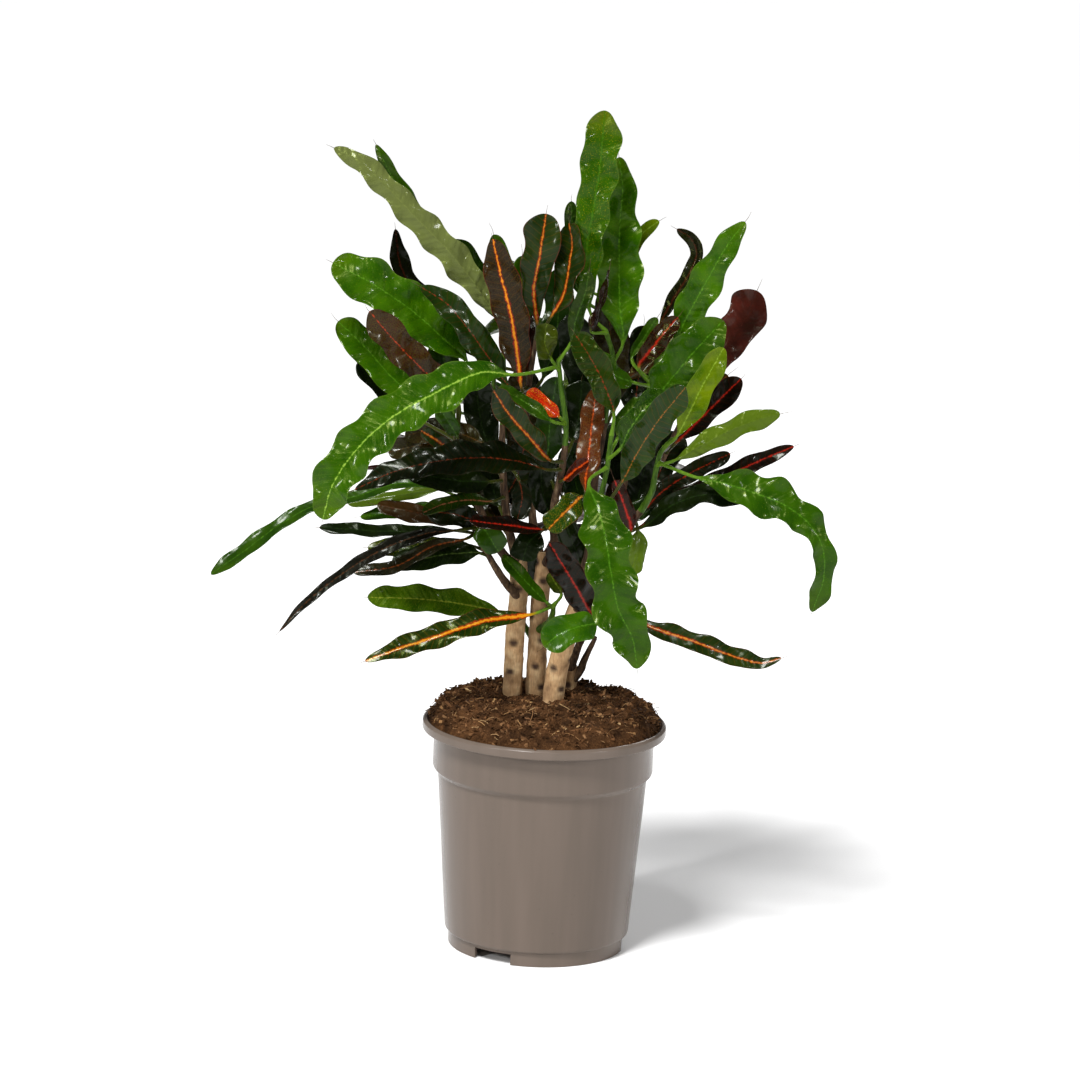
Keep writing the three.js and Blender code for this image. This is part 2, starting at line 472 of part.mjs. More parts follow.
function solidOf(geometry) {
  const bare = geometry.clone();
  bare.deleteAttribute("normal");
  bare.deleteAttribute("uv");
  const merged = mergeVertices(bare, 1e-4);
  return new wasm.Manifold(
    new wasm.Mesh({
      numProp: 3,
      vertProperties: new Float32Array(merged.attributes.position.array),
      triVerts: new Uint32Array(merged.index.array),
    }),
  );
}

function geometryOf(solid) {
  const mesh = solid.simplify(SLIVER).getMesh();
  const geometry = new THREE.BufferGeometry();
  geometry.setAttribute("position", new THREE.Float32BufferAttribute(mesh.vertProperties, 3));
  geometry.setIndex(Array.from(mesh.triVerts));
  geometry.computeVertexNormals();
  return geometry;
}

// A closed skin over a run of rings that all have the same number of corners. Each ring turns
// anticlockwise round the way ahead. A last single point closes the skin to a tip. The second half
// of a ring is split into triangles as the first half opposite it is, so that the two faces of a
// thin twisted blade stay parallel.
function skin(rings, tip) {
  const corners = rings[0].length;
  const vertices = rings.flat();
  const faces = [];
  for (let i = 0; i + 1 < rings.length; i += 1) {
    for (let k = 0; k < corners; k += 1) {
      const a = i * corners + k;
      const b = i * corners + ((k + 1) % corners);
      if (k < corners / 2) faces.push([a, b, b + corners], [a, b + corners, a + corners]);
      else faces.push([a, b, a + corners], [b, b + corners, a + corners]);
    }
  }
  for (let k = 1; k + 1 < corners; k += 1) faces.push([0, k + 1, k]);
  const start = (rings.length - 1) * corners;
  if (tip) {
    vertices.push(tip);
    for (let k = 0; k < corners; k += 1) {
      faces.push([start + k, start + ((k + 1) % corners), vertices.length - 1]);
    }
  } else {
    for (let k = 1; k + 1 < corners; k += 1) faces.push([start, start + k, start + k + 1]);
  }
  return geometryFrom(vertices, faces);
}

const SIDEWAYS = [0.3, -1, 0]; // a way along which no stem runs

// A round tube along part of a curve, with its radius given by the share of the curve.
function tube(curve, from, to, radiusAt, sides, step) {
  const count = Math.max(1, Math.ceil((to - from) / step));
  const rings = [];
  for (let i = 0; i <= count; i += 1) {
    const length = mix(from, to, i / count);
    const { point, direction } = along(curve, length);
    const right = unit(cross(direction, SIDEWAYS));
    const up = cross(right, direction);
    const radius = radiusAt(length / curve.length);
    const ring = [];
    for (let k = 0; k < sides; k += 1) {
      const angle = (-2 * Math.PI * k) / sides;
      ring.push(add(add(point, right, Math.cos(angle) * radius), up, Math.sin(angle) * radius));
    }
    rings.push(ring);
  }
  return skin(rings);
}

// --- the pot ------------------------------------------------------------------------------------

function makePot() {
  const inner = (radius) => radius - WALL;
  const rimFoot = POT_HEIGHT - RIM_HEIGHT;
  const footInner = FOOT_RADIUS - FOOT_WALL;
  const profile = [
    [0, BASE_HEIGHT],
    [footInner - FILLET, BASE_HEIGHT],
    [footInner, BASE_HEIGHT - FILLET],
    [footInner, 0],
    [FOOT_RADIUS, 0],
    [FOOT_RADIUS, FOOT_HEIGHT],
    [WALL_FOOT_RADIUS, WALL_FOOT],
    [WALL_TOP_RADIUS, COLLAR_FOOT - 2 * FILLET],
    [WALL_TOP_RADIUS + FILLET, COLLAR_FOOT],
    [COLLAR_RADIUS, COLLAR_FOOT + 2 * FILLET],
    [COLLAR_RADIUS, rimFoot],
    [RIM_RADIUS - FILLET / 2, rimFoot],
    [RIM_RADIUS, rimFoot + FILLET / 2],
    [RIM_RADIUS, POT_HEIGHT - FILLET],
    [RIM_RADIUS - FILLET, POT_HEIGHT],
    [RIM_RADIUS - LIP_WIDTH, POT_HEIGHT],
    [inner(COLLAR_RADIUS), rimFoot - 2 * FILLET],
    [inner(COLLAR_RADIUS), COLLAR_FOOT + FILLET],
    [inner(WALL_TOP_RADIUS), COLLAR_FOOT - FILLET],
    [inner(WALL_FOOT_RADIUS), BASE_HEIGHT + WALL],
    [0, BASE_HEIGHT + WALL],
  ].map(([radius, height]) => new THREE.Vector2(radius, height));
  const shell = new THREE.LatheGeometry(profile, POT_SIDES);
  shell.rotateX(Math.PI / 2); // the lathe turns round Y, the pot stands on Z
  let pot = solidOf(shell);
  const reach = FOOT_RADIUS + FOOT_WALL;
  const half = radians(NOTCH_ANGLE / 2);
  for (let i = 0; i < NOTCH_COUNT; i += 1) {
    const wedge = new THREE.Shape([
      new THREE.Vector2((footInner - SINK) * Math.cos(half), -(footInner - SINK) * Math.sin(half)),
      new THREE.Vector2(reach, -reach * Math.tan(half)),
      new THREE.Vector2(reach, reach * Math.tan(half)),
      new THREE.Vector2((footInner - SINK) * Math.cos(half), (footInner - SINK) * Math.sin(half)),
    ]);
    const notch = new THREE.ExtrudeGeometry(wedge, { depth: NOTCH_TOP + SINK, bevelEnabled: false });
    notch.translate(0, 0, -SINK);
    notch.rotateZ(radians(NOTCH_CENTRE + (360 * i) / NOTCH_COUNT));
    pot = pot.subtract(solidOf(notch));
  }
  for (let i = 0; i < DRAIN_COUNT; i += 1) {
    const drain = new THREE.CylinderGeometry(DRAIN_RADIUS, DRAIN_RADIUS, WALL + 2 * SINK, DRAIN_SIDES);
    drain.rotateX(Math.PI / 2);
    const angle = (2 * Math.PI * i) / DRAIN_COUNT;
    drain.translate(DRAIN_CIRCLE * Math.cos(angle), DRAIN_CIRCLE * Math.sin(angle), BASE_HEIGHT + WALL / 2);
    pot = pot.subtract(solidOf(drain));
  }
  return geometryOf(pot);
}

// --- the compost --------------------------------------------------------------------------------

function makeCompost(rooms) {
  const random = seeded(COMPOST_SEED);
  const inside = (radius) => radius - WALL - FIT_GAP;
  const rimFoot = POT_HEIGHT - RIM_HEIGHT;
  const foot = BASE_HEIGHT + WALL + FIT_GAP;
  const edge = RIM_RADIUS - LIP_WIDTH - FIT_GAP - 1;
  const profile = [
    [0, foot],
    [inside(WALL_FOOT_RADIUS), foot],
    [inside(WALL_TOP_RADIUS), COLLAR_FOOT - FILLET],
    [inside(COLLAR_RADIUS), COLLAR_FOOT + FILLET],
    [inside(COLLAR_RADIUS), rimFoot - 2 * FILLET],
    [edge, COMPOST_EDGE],
  ];
  for (let i = 1; i <= COMPOST_RINGS; i += 1) {
    const inward = edge * (i / COMPOST_RINGS) ** RING_CROWDING;
    const rise = COMPOST_HEAP * (1 - Math.exp(-inward / COMPOST_BANK));
    profile.push([edge - inward, COMPOST_EDGE + rise]);
  }
  const points = profile.map(([radius, height]) => new THREE.Vector2(radius, height));
  const body = new THREE.LatheGeometry(points, POT_SIDES);
  body.rotateX(Math.PI / 2);
  body.deleteAttribute("normal");
  body.deleteAttribute("uv");
  const lumpy = mergeVertices(body, 1e-4);
  const place = lumpy.attributes.position;
  for (let i = 0; i < place.count; i += 1) {
    const lump = mix(COMPOST_LUMP[0], COMPOST_LUMP[1], random());
    if (place.getZ(i) > COMPOST_EDGE + FIT_GAP) place.setZ(i, place.getZ(i) + lump);
  }
  let compost = solidOf(lumpy);
  for (const room of rooms) compost = compost.subtract(room);
  return geometryOf(compost);
}

// --- trunks and stems ---------------------------------------------------------------------------

const trunkNames = Object.keys(TRUNKS);
const trunkCurves = {};
for (const name of trunkNames) trunkCurves[name] = curveThrough(TRUNKS[name].axis);

// A trunk, or with a margin the room it takes with that much clear all round it.
function trunkTube(name, margin) {
  const { axis, radii } = TRUNKS[name];
  const radiusAt = (share) => spread(radii, share) + margin;
  const tip = along(trunkCurves[name], trunkCurves[name].length);
  const longer = [...axis, add(tip.point, tip.direction, margin)];
  const curve = margin ? curveThrough(longer) : trunkCurves[name];
  return tube(curve, 0, curve.length, radiusAt, TRUNK_SIDES, TRUNK_STEP);
}

for (const shoot of Object.values(SHOOTS)) shoot.curve = curveThrough(shoot.axis);

const stemRadius = (share) => mix(STEM_FOOT_RADIUS, STEM_TIP_RADIUS, share);

function stemTube(shoot, from, to) {
  return tube(shoot.curve, from, to, stemRadius, STEM_SIDES, STEM_STEP);
}

// --- leaves -------------------------------------------------------------------------------------

const viewSlope = Math.tan(radians(VIEW_ANGLE));
const towardViewer = [0, -Math.cos(radians(VIEW_ANGLE)), Math.sin(radians(VIEW_ANGLE))];

// The stretch of a shoot's stem on which its old or its young leaves stand.
function stemStretch(shoot, old) {
  const { length } = shoot.curve;
  const foot = Math.min(STALKS_FROM, length * STALKS_FROM_SHARE);
  const end = length - STEM_TIP_RADIUS;
  const change = length * shoot.split;
  if (!old) return [shoot.split ? change + CHANGE_MARGIN : foot, end];
  return [foot, shoot.split === 1 ? end : change - CHANGE_MARGIN];
}

// The place on the stem from which a leaf's stalk leaves: the nearest to a point a little way
// back from the foot of the blade.
function stalkRoot(shoot, old, foot, ahead) {
  const [from, to] = stemStretch(shoot, old);
  const aim = add(foot, unit(sub(foot, ahead)), STALK_REACH);
  let best = null;
  for (let i = 0; i <= ROOT_STEPS; i += 1) {
    const { point } = along(shoot.curve, mix(from, to, i / ROOT_STEPS));
    const distance = size(sub(point, aim));
    if (!best || distance < best.distance - 1e-9) best = { point, distance };
  }
  return best.point;
}

// A leaf's midrib with its tip swung in depth. The swing grows from nothing at the stem.
function midrib(leaf, swing) {
  const shoot = SHOOTS[leaf.shoot];
  const count = leaf.path.length - 1;
  const points = leaf.path.map(([across, up, depth], i) => {
    const y = depth + swing * mix(SWING_AT_FOOT, 1, i / count);
    return leaf.placed ? [across, y, up] : [across, y, up - viewSlope * y];
  });
  const root = stalkRoot(shoot, leaf.old, points[0], points[1]);
  const curve = curveThrough([root, ...points]);
  return { curve, bladeStart: curve.marks[1] };
}

// Half the blade's width on one side at a share of its length.
function halfWidth(leaf, share, side, bladeLength) {
  const taper = share < TAPER_SHARE ? Math.sin((share / TAPER_SHARE) * (Math.PI / 2)) : 1;
  const tipShare = share > 1 - TIP_SHARE ? (share - 1 + TIP_SHARE) / TIP_SHARE : 0;
  const round = Math.sqrt(Math.max(0, 1 - tipShare ** 2));
  const wave = (share * bladeLength * 2 * Math.PI) / WAVE_LENGTH + leaf.phase + side;
  const scallop = 1 + WAVE_SCALLOP * (leaf.wave || 1) * Math.sin(wave);
  return (spread(leaf.width, share) / 2) * taper * round * scallop;
}

// How far one edge of the blade stands above its midrib.
function edgeRise(leaf, share, side, bladeLength, half) {
  const wave = (share * bladeLength * 2 * Math.PI) / WAVE_LENGTH + leaf.phase * 2 + side;
  return half * (GUTTER + WAVE_RISE * (leaf.wave || 1) * Math.sin(wave));
}

// The midrib's point, the way across the blade and the way out of its upper face, at each step.
function bladeFrames(leaf, swing, lengths) {
  const { curve, bladeStart } = midrib(leaf, swing);
  const ends = [leaf.path[0][0], leaf.path[leaf.path.length - 1][0]];
  const hand = ends[1] >= ends[0] ? 1 : -1;
  const facing = leaf.placed ? [0, 0, 1] : towardViewer;
  const tilt = leaf.placed ? leaf.roll : hand * radians(leaf.turn || 0) + (leaf.under ? Math.PI : 0);
  let before = null;
  return lengths(curve, bladeStart).map((length) => {
    const { point, direction } = along(curve, length);
    let across = cross(direction, facing);
    if (before) across = add(across, before, CARRY);
    across = unit(add(across, direction, -dot(across, direction)));
    before = across;
    const out = cross(across, direction);
    return {
      length,
      point,
      across: add(add([0, 0, 0], across, Math.cos(tilt)), out, Math.sin(tilt)),
      out: add(add([0, 0, 0], out, Math.cos(tilt)), across, -Math.sin(tilt)),
    };
  });
}

// Points all over a leaf, for telling how near another comes. Each has its distance from the
// stem along the leaf.
function leafSamples(leaf, swing) {
  let start = 0;
  let total = 1;
  const steps = (curve, bladeStart) => {
    start = bladeStart;
    total = curve.length;
    const count = Math.ceil(curve.length / CLEAR_STEP);
    return Array.from({ length: count + 1 }, (_, i) => (curve.length * i) / count);
  };
  const samples = [];
  for (const frame of bladeFrames(leaf, swing, steps)) {
    const share = (frame.length - start) / (total - start);
    if (share <= 0) {
      samples.push([frame.point, frame.length]);
    } else {
      const half = halfWidth(leaf, share, 0, total - start);
      for (const k of [-1, -0.5, 0, 0.5, 1]) {
        samples.push([add(frame.point, frame.across, half * k), frame.length]);
      }
    }
  }
  return samples;
}

function leafSolid(leaf) {
  let start = 0;
  let total = 1;
  const steps = (curve, bladeStart) => {
    start = bladeStart;
    total = curve.length;
    const blade = total - start;
    const count = clamp(Math.round(blade / BLADE_STEP), BLADE_STEPS_MIN, BLADE_STEPS_MAX);
    const list = [0, start / 2];
    for (let i = 0; i < count; i += 1) list.push(start + (blade * (i + BLADE_LEAD)) / count);
    list.push(total - (blade * 2 * BLADE_LEAD) / count, total);
    return list;
  };
  const frames = bladeFrames(leaf, leaf.swing, steps);
  const tip = frames.pop().point;
  const rings = frames.map(({ length, point, across, out }) => {
    const share = clamp((length - start) / (total - start), 0, 1);
    const blade = total - start;
    const widths = [-1, 1].map((side) => Math.max(STALK_RADIUS, halfWidth(leaf, share, side, blade)));
    const rises = [-1, 1].map((side, i) => (share > 0 ? edgeRise(leaf, share, side, blade, widths[i]) : 0));
    const thick = mix(STALK_RADIUS, BLADE_THICKNESS / 2, clamp(share / THINNING_SHARE, 0, 1));
    return [
      add(add(point, across, -widths[0]), out, rises[0]),
      add(point, out, thick),
      add(add(point, across, widths[1]), out, rises[1]),
      add(point, out, -thick),
    ];
  });
  return skin(rings, tip);
}

// --- placing the leaves -------------------------------------------------------------------------

// What is already placed, kept in cells as wide as the clearance.
const cells = new Map();
const cellOf = (point) => point.map((value) => Math.floor(value / CLEARANCE));

function keep(samples, shoot, old) {
  for (const [point, reach, margin = 0] of samples) {
    const key = cellOf(point).join(",");
    if (!cells.has(key)) cells.set(key, []);
    cells.get(key).push({ point, reach, shoot, old, margin });
  }
}

// The smallest free distance from the samples to what is placed, up to the clearance.
function freeDistance(samples, shoot, old) {
  let nearest = CLEARANCE;
  for (const [point, reach] of samples) {
    const [cx, cy, cz] = cellOf(point);
    for (let x = cx - 1; x <= cx + 1; x += 1) {
      for (let y = cy - 1; y <= cy + 1; y += 1) {
        for (let z = cz - 1; z <= cz + 1; z += 1) {
          for (const other of cells.get([x, y, z].join(",")) || []) {
            const near = other.shoot === shoot && reach < OWN_REACH && other.reach < OWN_REACH;
            if (!near || other.old !== old) {
              const ease = near ? CLEARANCE / NEAR_CLEARANCE : 1;
              nearest = Math.min(nearest, ease * (size(sub(point, other.point)) - other.margin));
            }
          }
        }
      }
    }
  }
  return nearest;
}

// Points along a trunk's or a stem's axis, each with its share of the length.
function axisPoints(curve) {
  const count = Math.ceil(curve.length / AXIS_STEP);
  const shares = Array.from({ length: count + 1 }, (_, i) => i / count);
  return shares.map((share) => [along(curve, curve.length * share).point, share]);
}

for (const name of trunkNames) {
  const samples = [];
  for (const [point, share] of axisPoints(trunkCurves[name])) {
    for (let k = 0; k < TRUNK_SIDES; k += 1) {
      const angle = (2 * Math.PI * k) / TRUNK_SIDES;
      const outward = [Math.cos(angle), Math.sin(angle), 0];
      samples.push([add(point, outward, spread(TRUNKS[name].radii, share)), 0]);
    }
  }
  keep(samples, name, true);
}
for (const [name, shoot] of Object.entries(SHOOTS)) {
  for (const [point, share] of axisPoints(shoot.curve)) {
    keep([[point, 0, stemRadius(share)]], name, share < shoot.split || shoot.split === 1);
  }
}

function place(leaf, swings) {
  let best = null;
  for (let i = 0; i < swings; i += 1) {
    const swing = SWING_STEP * Math.ceil(i / 2) * (i % 2 ? 1 : -1);
    const samples = leafSamples(leaf, swing);
    const free = freeDistance(samples, leaf.shoot, Boolean(leaf.old));
    if (!best || free > best.free + 1e-6) best = { swing, free, samples };
    if (free >= CLEARANCE - 1e-6) break;
  }
  return best;
}

const phases = seeded(FILL_SEED + 1);
const placed = [];
for (const leaf of LEAVES) {
  leaf.phase = phases() * 2 * Math.PI;
  const { swing, samples } = place(leaf, leaf.behind ? FILL_SWING_COUNT : SWING_COUNT);
  leaf.swing = swing;
  keep(samples, leaf.shoot, Boolean(leaf.old));
  placed.push(leaf);
}

// A hidden leaf: it leaves its stem at an angle round it, rises, and bends down to its tip.
function hiddenLeaf(group, draw) {
  const shoot = SHOOTS[group.shoot];
  const old = draw() < group.mature;
  const [from, to] = stemStretch(shoot, old);
  const { point } = along(shoot.curve, mix(from, to, draw()));
  const heading = radians(mix(group.from, group.to, draw()));
  const length = mix(...FILL_LENGTH, draw());
  const width = mix(...FILL_WIDTH, draw());
  const rise = mix(...FILL_RISE, draw());
  const droop = mix(...FILL_DROOP, draw());
  const roll = mix(-FILL_ROLL, FILL_ROLL, draw());
  const phase = draw() * 2 * Math.PI;
  const outward = [Math.cos(heading), Math.sin(heading), 0];
  const path = [];
  let spot = point;
  for (let i = 0; i <= FILL_STEPS; i += 1) {
    const slope = radians(rise - (droop * i) / FILL_STEPS);
    const stride = i === 0 ? FILL_STALK : length / FILL_STEPS;
    spot = add(add(spot, outward, Math.cos(slope) * stride), [0, 0, 1], Math.sin(slope) * stride);
    path.push([spot[0], spot[2], spot[1]]);
  }
  return { shoot: group.shoot, old, width, path, roll, phase, placed: true };
}

function insideEnvelope(samples) {
  const { x, up, halfAcross, halfUp, depth } = FILL_ENVELOPE;
  return samples.every(([point]) => {
    const seen = point[2] + viewSlope * point[1];
    const outline = ((point[0] - x) / halfAcross) ** 2 + ((seen - up) / halfUp) ** 2;
    return outline < 1 && point[1] < depth;
  });
}

const draw = seeded(FILL_SEED);
for (const group of FILL) {
  for (let i = 0; i < group.count * FILL_TRIES; i += 1) {
    const leaf = hiddenLeaf(group, draw);
    const wanted = placed.filter((other) => other.group === group).length < group.count;
    const { swing, free, samples } = place(leaf, FILL_SWING_COUNT);
    if (wanted && free >= CLEARANCE - 1e-6 && insideEnvelope(samples)) {
      leaf.swing = swing;
      leaf.group = group;
      keep(samples, leaf.shoot, Boolean(leaf.old));
      placed.push(leaf);
    }
  }
}

// --- the whole plant ----------------------------------------------------------------------------

function named(name, geometry, color, roughness) {
  const mesh = new THREE.Mesh(geometry, new THREE.MeshStandardMaterial({ color, roughness, metalness: 0 }));
  mesh.name = name;
  return mesh;
}

const plant = new THREE.Group();
plant.name = "potted_croton";
plant.add(named("pot", makePot(), POT_TAUPE, 0.35));
const trunkRooms = trunkNames.map((name) => solidOf(trunkTube(name, TRUNK_MARGIN)));
plant.add(named("compost", makeCompost(trunkRooms), COMPOST_BROWN, 0.95));
for (const name of trunkNames) plant.add(named(name, trunkTube(name, 0), BARK, 0.9));

for (const [name, shoot] of Object.entries(SHOOTS)) {
  const own = placed.filter((leaf) => leaf.shoot === name);
  const { length } = shoot.curve;
  const change = length * shoot.split;
  const parts = [
    { suffix: "mature", old: true, from: 0, to: change },
    { suffix: "young", old: false, from: shoot.split ? change + FIT_GAP : 0, to: length },
  ];
  for (const { suffix, old, from, to } of parts) {
    if (to > from) {
      let body = solidOf(stemTube(shoot, from, to));
      if (from === 0) {
        for (const room of trunkRooms) body = body.subtract(room);
      }
      for (const leaf of own) {
        if (Boolean(leaf.old) === old) body = body.add(solidOf(leafSolid(leaf)));
      }
      plant.add(named(`shoot_${name}_${suffix}`, geometryOf(body), old ? WOODY_GREEN : LEAF_GREEN, 0.4));
    }
  }
}

// The origin goes under the middle of the plant's extents.
const extents = new THREE.Box3().setFromObject(plant);
const middle = extents.getCenter(new THREE.Vector3());
plant.position.set(-middle.x, -middle.y, 0);
plant.updateMatrixWorld(true);

export default plant;
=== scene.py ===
import math

import bpy
import numpy as np
from mathutils import Matrix, Vector, noise


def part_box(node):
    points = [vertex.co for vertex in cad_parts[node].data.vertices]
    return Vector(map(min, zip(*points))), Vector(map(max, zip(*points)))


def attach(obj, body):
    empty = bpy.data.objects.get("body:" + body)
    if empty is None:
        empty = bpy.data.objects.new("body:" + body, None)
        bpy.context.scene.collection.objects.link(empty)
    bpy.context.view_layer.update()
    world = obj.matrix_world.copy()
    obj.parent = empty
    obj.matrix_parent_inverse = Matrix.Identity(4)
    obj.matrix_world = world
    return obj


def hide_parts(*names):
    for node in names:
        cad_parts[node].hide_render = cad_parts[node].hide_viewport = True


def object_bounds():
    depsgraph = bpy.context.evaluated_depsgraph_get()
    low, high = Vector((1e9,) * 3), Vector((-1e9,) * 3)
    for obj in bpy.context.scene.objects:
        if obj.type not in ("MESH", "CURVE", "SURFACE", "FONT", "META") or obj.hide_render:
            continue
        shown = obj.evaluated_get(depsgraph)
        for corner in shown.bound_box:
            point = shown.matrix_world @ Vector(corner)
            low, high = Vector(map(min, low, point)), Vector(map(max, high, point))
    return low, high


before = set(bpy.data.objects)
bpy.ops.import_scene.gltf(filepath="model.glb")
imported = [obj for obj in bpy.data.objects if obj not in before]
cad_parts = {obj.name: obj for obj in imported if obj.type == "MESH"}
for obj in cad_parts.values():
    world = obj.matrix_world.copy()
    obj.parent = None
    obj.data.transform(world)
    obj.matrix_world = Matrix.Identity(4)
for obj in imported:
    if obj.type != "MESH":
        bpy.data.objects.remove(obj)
cad_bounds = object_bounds()

# --- the camera ------------------------------------------------------------------------------------
# The photograph was taken with a long lens from a little above, and the camera was tipped a little
# to one side. The aim is the point in the middle of the picture, measured from the pot's axis.

MM = 0.001
pot_low, pot_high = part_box("pot")
AXIS = Vector(((pot_low.x + pot_high.x) / 2, (pot_low.y + pot_high.y) / 2, 0))
VIEW_ANGLE = math.radians(12.5)
VIEW_ROLL = math.radians(2.3)
VIEW_DISTANCE = 4.5  # metres
VIEW_END = 50  # metres
VIEW_AIM = Vector((-10.2, 1.9, 358.4)) * MM
SENSOR = 36
PICTURE_WIDTH = 927.0 * MM  # what the picture takes in at the pot's axis

view_turn = Matrix.Rotation(math.pi / 2 - VIEW_ANGLE, 3, "X")
camera_place = AXIS + VIEW_AIM + view_turn @ Vector((0, 0, VIEW_DISTANCE))
bpy.ops.object.camera_add(location=camera_place)
camera = bpy.context.object
camera.name = "camera"
camera.rotation_euler = (view_turn @ Matrix.Rotation(VIEW_ROLL, 3, "Z")).to_euler()
camera.data.sensor_width = SENSOR
camera.data.lens = SENSOR * VIEW_DISTANCE / PICTURE_WIDTH
camera.data.clip_end = VIEW_END
bpy.context.scene.camera = camera

# --- the pot ---------------------------------------------------------------------------------------
# A 21 cm nursery pot, injection moulded in one piece from taupe polypropylene. It has a rolled rim,
# a straight collar, a tapered wall, a recessed foot ring with three openings, and drain holes. It
# stands on the foot ring.

POT_SIDES = 128
POT_WALL = 2.2
POT_BASE = 10.0
FOOT_INNER = 73.5
RIM_FOOT = 191.0
POT_PROFILE = [  # radius and height round the pot's wall, from under its base to inside on its base
    (2, POT_BASE), (FOOT_INNER - 2, POT_BASE), (FOOT_INNER, 8), (FOOT_INNER, 0), (76.5, 0), (76.5, 12.6),
    (79.4, 13.4), (80, 15.4), (90.5, 151), (90.9, 153.2), (94.6, 156.8), (95.3, 159), (95.3, RIM_FOOT),
    (104.6, RIM_FOOT), (105.4, 191.8), (105.4, 198), (103.4, 200), (101.9, 200), (93.1, 187),
    (93.1, 157), (88.3, 153), (77.8, POT_BASE + POT_WALL), (2, POT_BASE + POT_WALL),
]
POT_ROUNDING = 0.9
ROUNDED_FROM = math.radians(18)  # edges that turn by less stay as they are
NOTCH_TOP = 9.8
NOTCH_RADIUS = 75.5
NOTCH_BLOCK = (14, 2 * 74 * math.tan(math.radians(13.5)), 24)  # its depth, width and height
NOTCH_CENTRES = [math.radians(angle) for angle in (-119.5, 0.5, 120.5)]
DRAINS = 6
DRAIN_RADIUS = 5
DRAIN_DEPTH = 9
DRAIN_CIRCLE = 48


def linear(code, alpha=1.0):
    """A hex colour as Blender's linear red, green, blue and alpha."""
    parts = [int(code[i:i + 2], 16) / 255 for i in (1, 3, 5)]
    return [c / 12.92 if c <= 0.04045 else ((c + 0.055) / 1.055) ** 2.4 for c in parts] + [alpha]


def add_node(tree, kind, links=None, out=0, **settings):
    """Adds a shader node and gives its output. In links a socket is linked, and a value is set."""
    made = tree.nodes.new("ShaderNode" + kind)
    stops = settings.pop("stops", None)
    for name, value in settings.items():
        setattr(made, name, value)
    if stops:
        ramp = made.color_ramp
        while len(ramp.elements) < len(stops):
            ramp.elements.new(0.5)
        for element, (position, color) in zip(ramp.elements, stops):
            element.position = position
            element.color = linear(color) if isinstance(color, str) else (color, color, color, 1)
    for name, value in (links or {}).items():
        if isinstance(value, bpy.types.NodeSocket):
            tree.links.new(value, made.inputs[name])
        else:
            made.inputs[name].default_value = value
    return made.outputs[out]


def set_shader(material, **settings):
    """Sets sockets of the material's Principled shader to plain values, and gives the shader."""
    shader = material.node_tree.nodes["Principled BSDF"]
    for socket, value in settings.items():
        shader.inputs[socket.replace("_", " ")].default_value = value
    return shader


def new_material(name, **settings):
    """A material with one Principled shader, its node tree and the shader."""
    made = bpy.data.materials.new(name)
    made.use_nodes = True
    return made, made.node_tree, set_shader(made, **settings)


def deselect():
    if bpy.context.object and bpy.context.object.mode != "OBJECT":
        bpy.ops.object.mode_set(mode="OBJECT")
    bpy.ops.object.select_all(action="DESELECT")


def edit_all():
    """Starts to edit the active mesh, with all of it selected."""
    bpy.ops.object.mode_set(mode="EDIT")
    bpy.ops.mesh.select_all(action="SELECT")


def end_edit():
    bpy.ops.object.mode_set(mode="OBJECT")


def raise_rings(profile, extrude):
    """Extrudes the selected ring or disc through a profile of radii and heights."""
    for (radius, height), (next_radius, next_height) in zip(profile, profile[1:]):
        grow = next_radius / radius
        extrude(TRANSFORM_OT_translate={"value": (0, 0, (next_height - height) * MM)})
        bpy.ops.transform.resize(value=(grow, grow, 1), center_override=AXIS)


def finish(piece, material, angle):
    """Shades the piece, gives it its material and leaves its place in its mesh."""
    deselect()
    piece.select_set(True)
    bpy.context.view_layer.objects.active = piece
    bpy.ops.object.transform_apply(location=True, rotation=True, scale=True)
    bpy.ops.object.shade_smooth_by_angle(angle=math.radians(angle))
    if material.name not in piece.data.materials:
        piece.data.materials.append(material)
    return piece


deselect()
first_radius, first_height = POT_PROFILE[0]
bpy.ops.mesh.primitive_circle_add(vertices=POT_SIDES, radius=first_radius * MM,
                                  location=AXIS + Vector((0, 0, first_height * MM)))
pot = bpy.context.object
pot.name = "nursery_pot"
edit_all()
raise_rings(POT_PROFILE, bpy.ops.mesh.extrude_edges_move)
bpy.ops.mesh.edge_face_add()
bpy.ops.mesh.select_mode(type="EDGE")
bpy.ops.mesh.select_all(action="DESELECT")
end_edit()
for edge in pot.data.edges:
    ends = [pot.data.vertices[i].co for i in edge.vertices]
    edge.select = all(end.xy.length < (first_radius + 0.1) * MM and end.z < 0.5 * MM for end in ends)
bpy.ops.object.mode_set(mode="EDIT")
bpy.ops.mesh.edge_face_add()
bpy.ops.mesh.select_mode(type="VERT")
bpy.ops.mesh.select_all(action="SELECT")
bpy.ops.mesh.normals_make_consistent(inside=False)
end_edit()
bevel = pot.modifiers.new("rounding", "BEVEL")
bevel.width = POT_ROUNDING * MM
bevel.segments = 3
bevel.limit_method = "ANGLE"
bevel.angle_limit = ROUNDED_FROM
bpy.ops.object.modifier_apply(modifier=bevel.name)

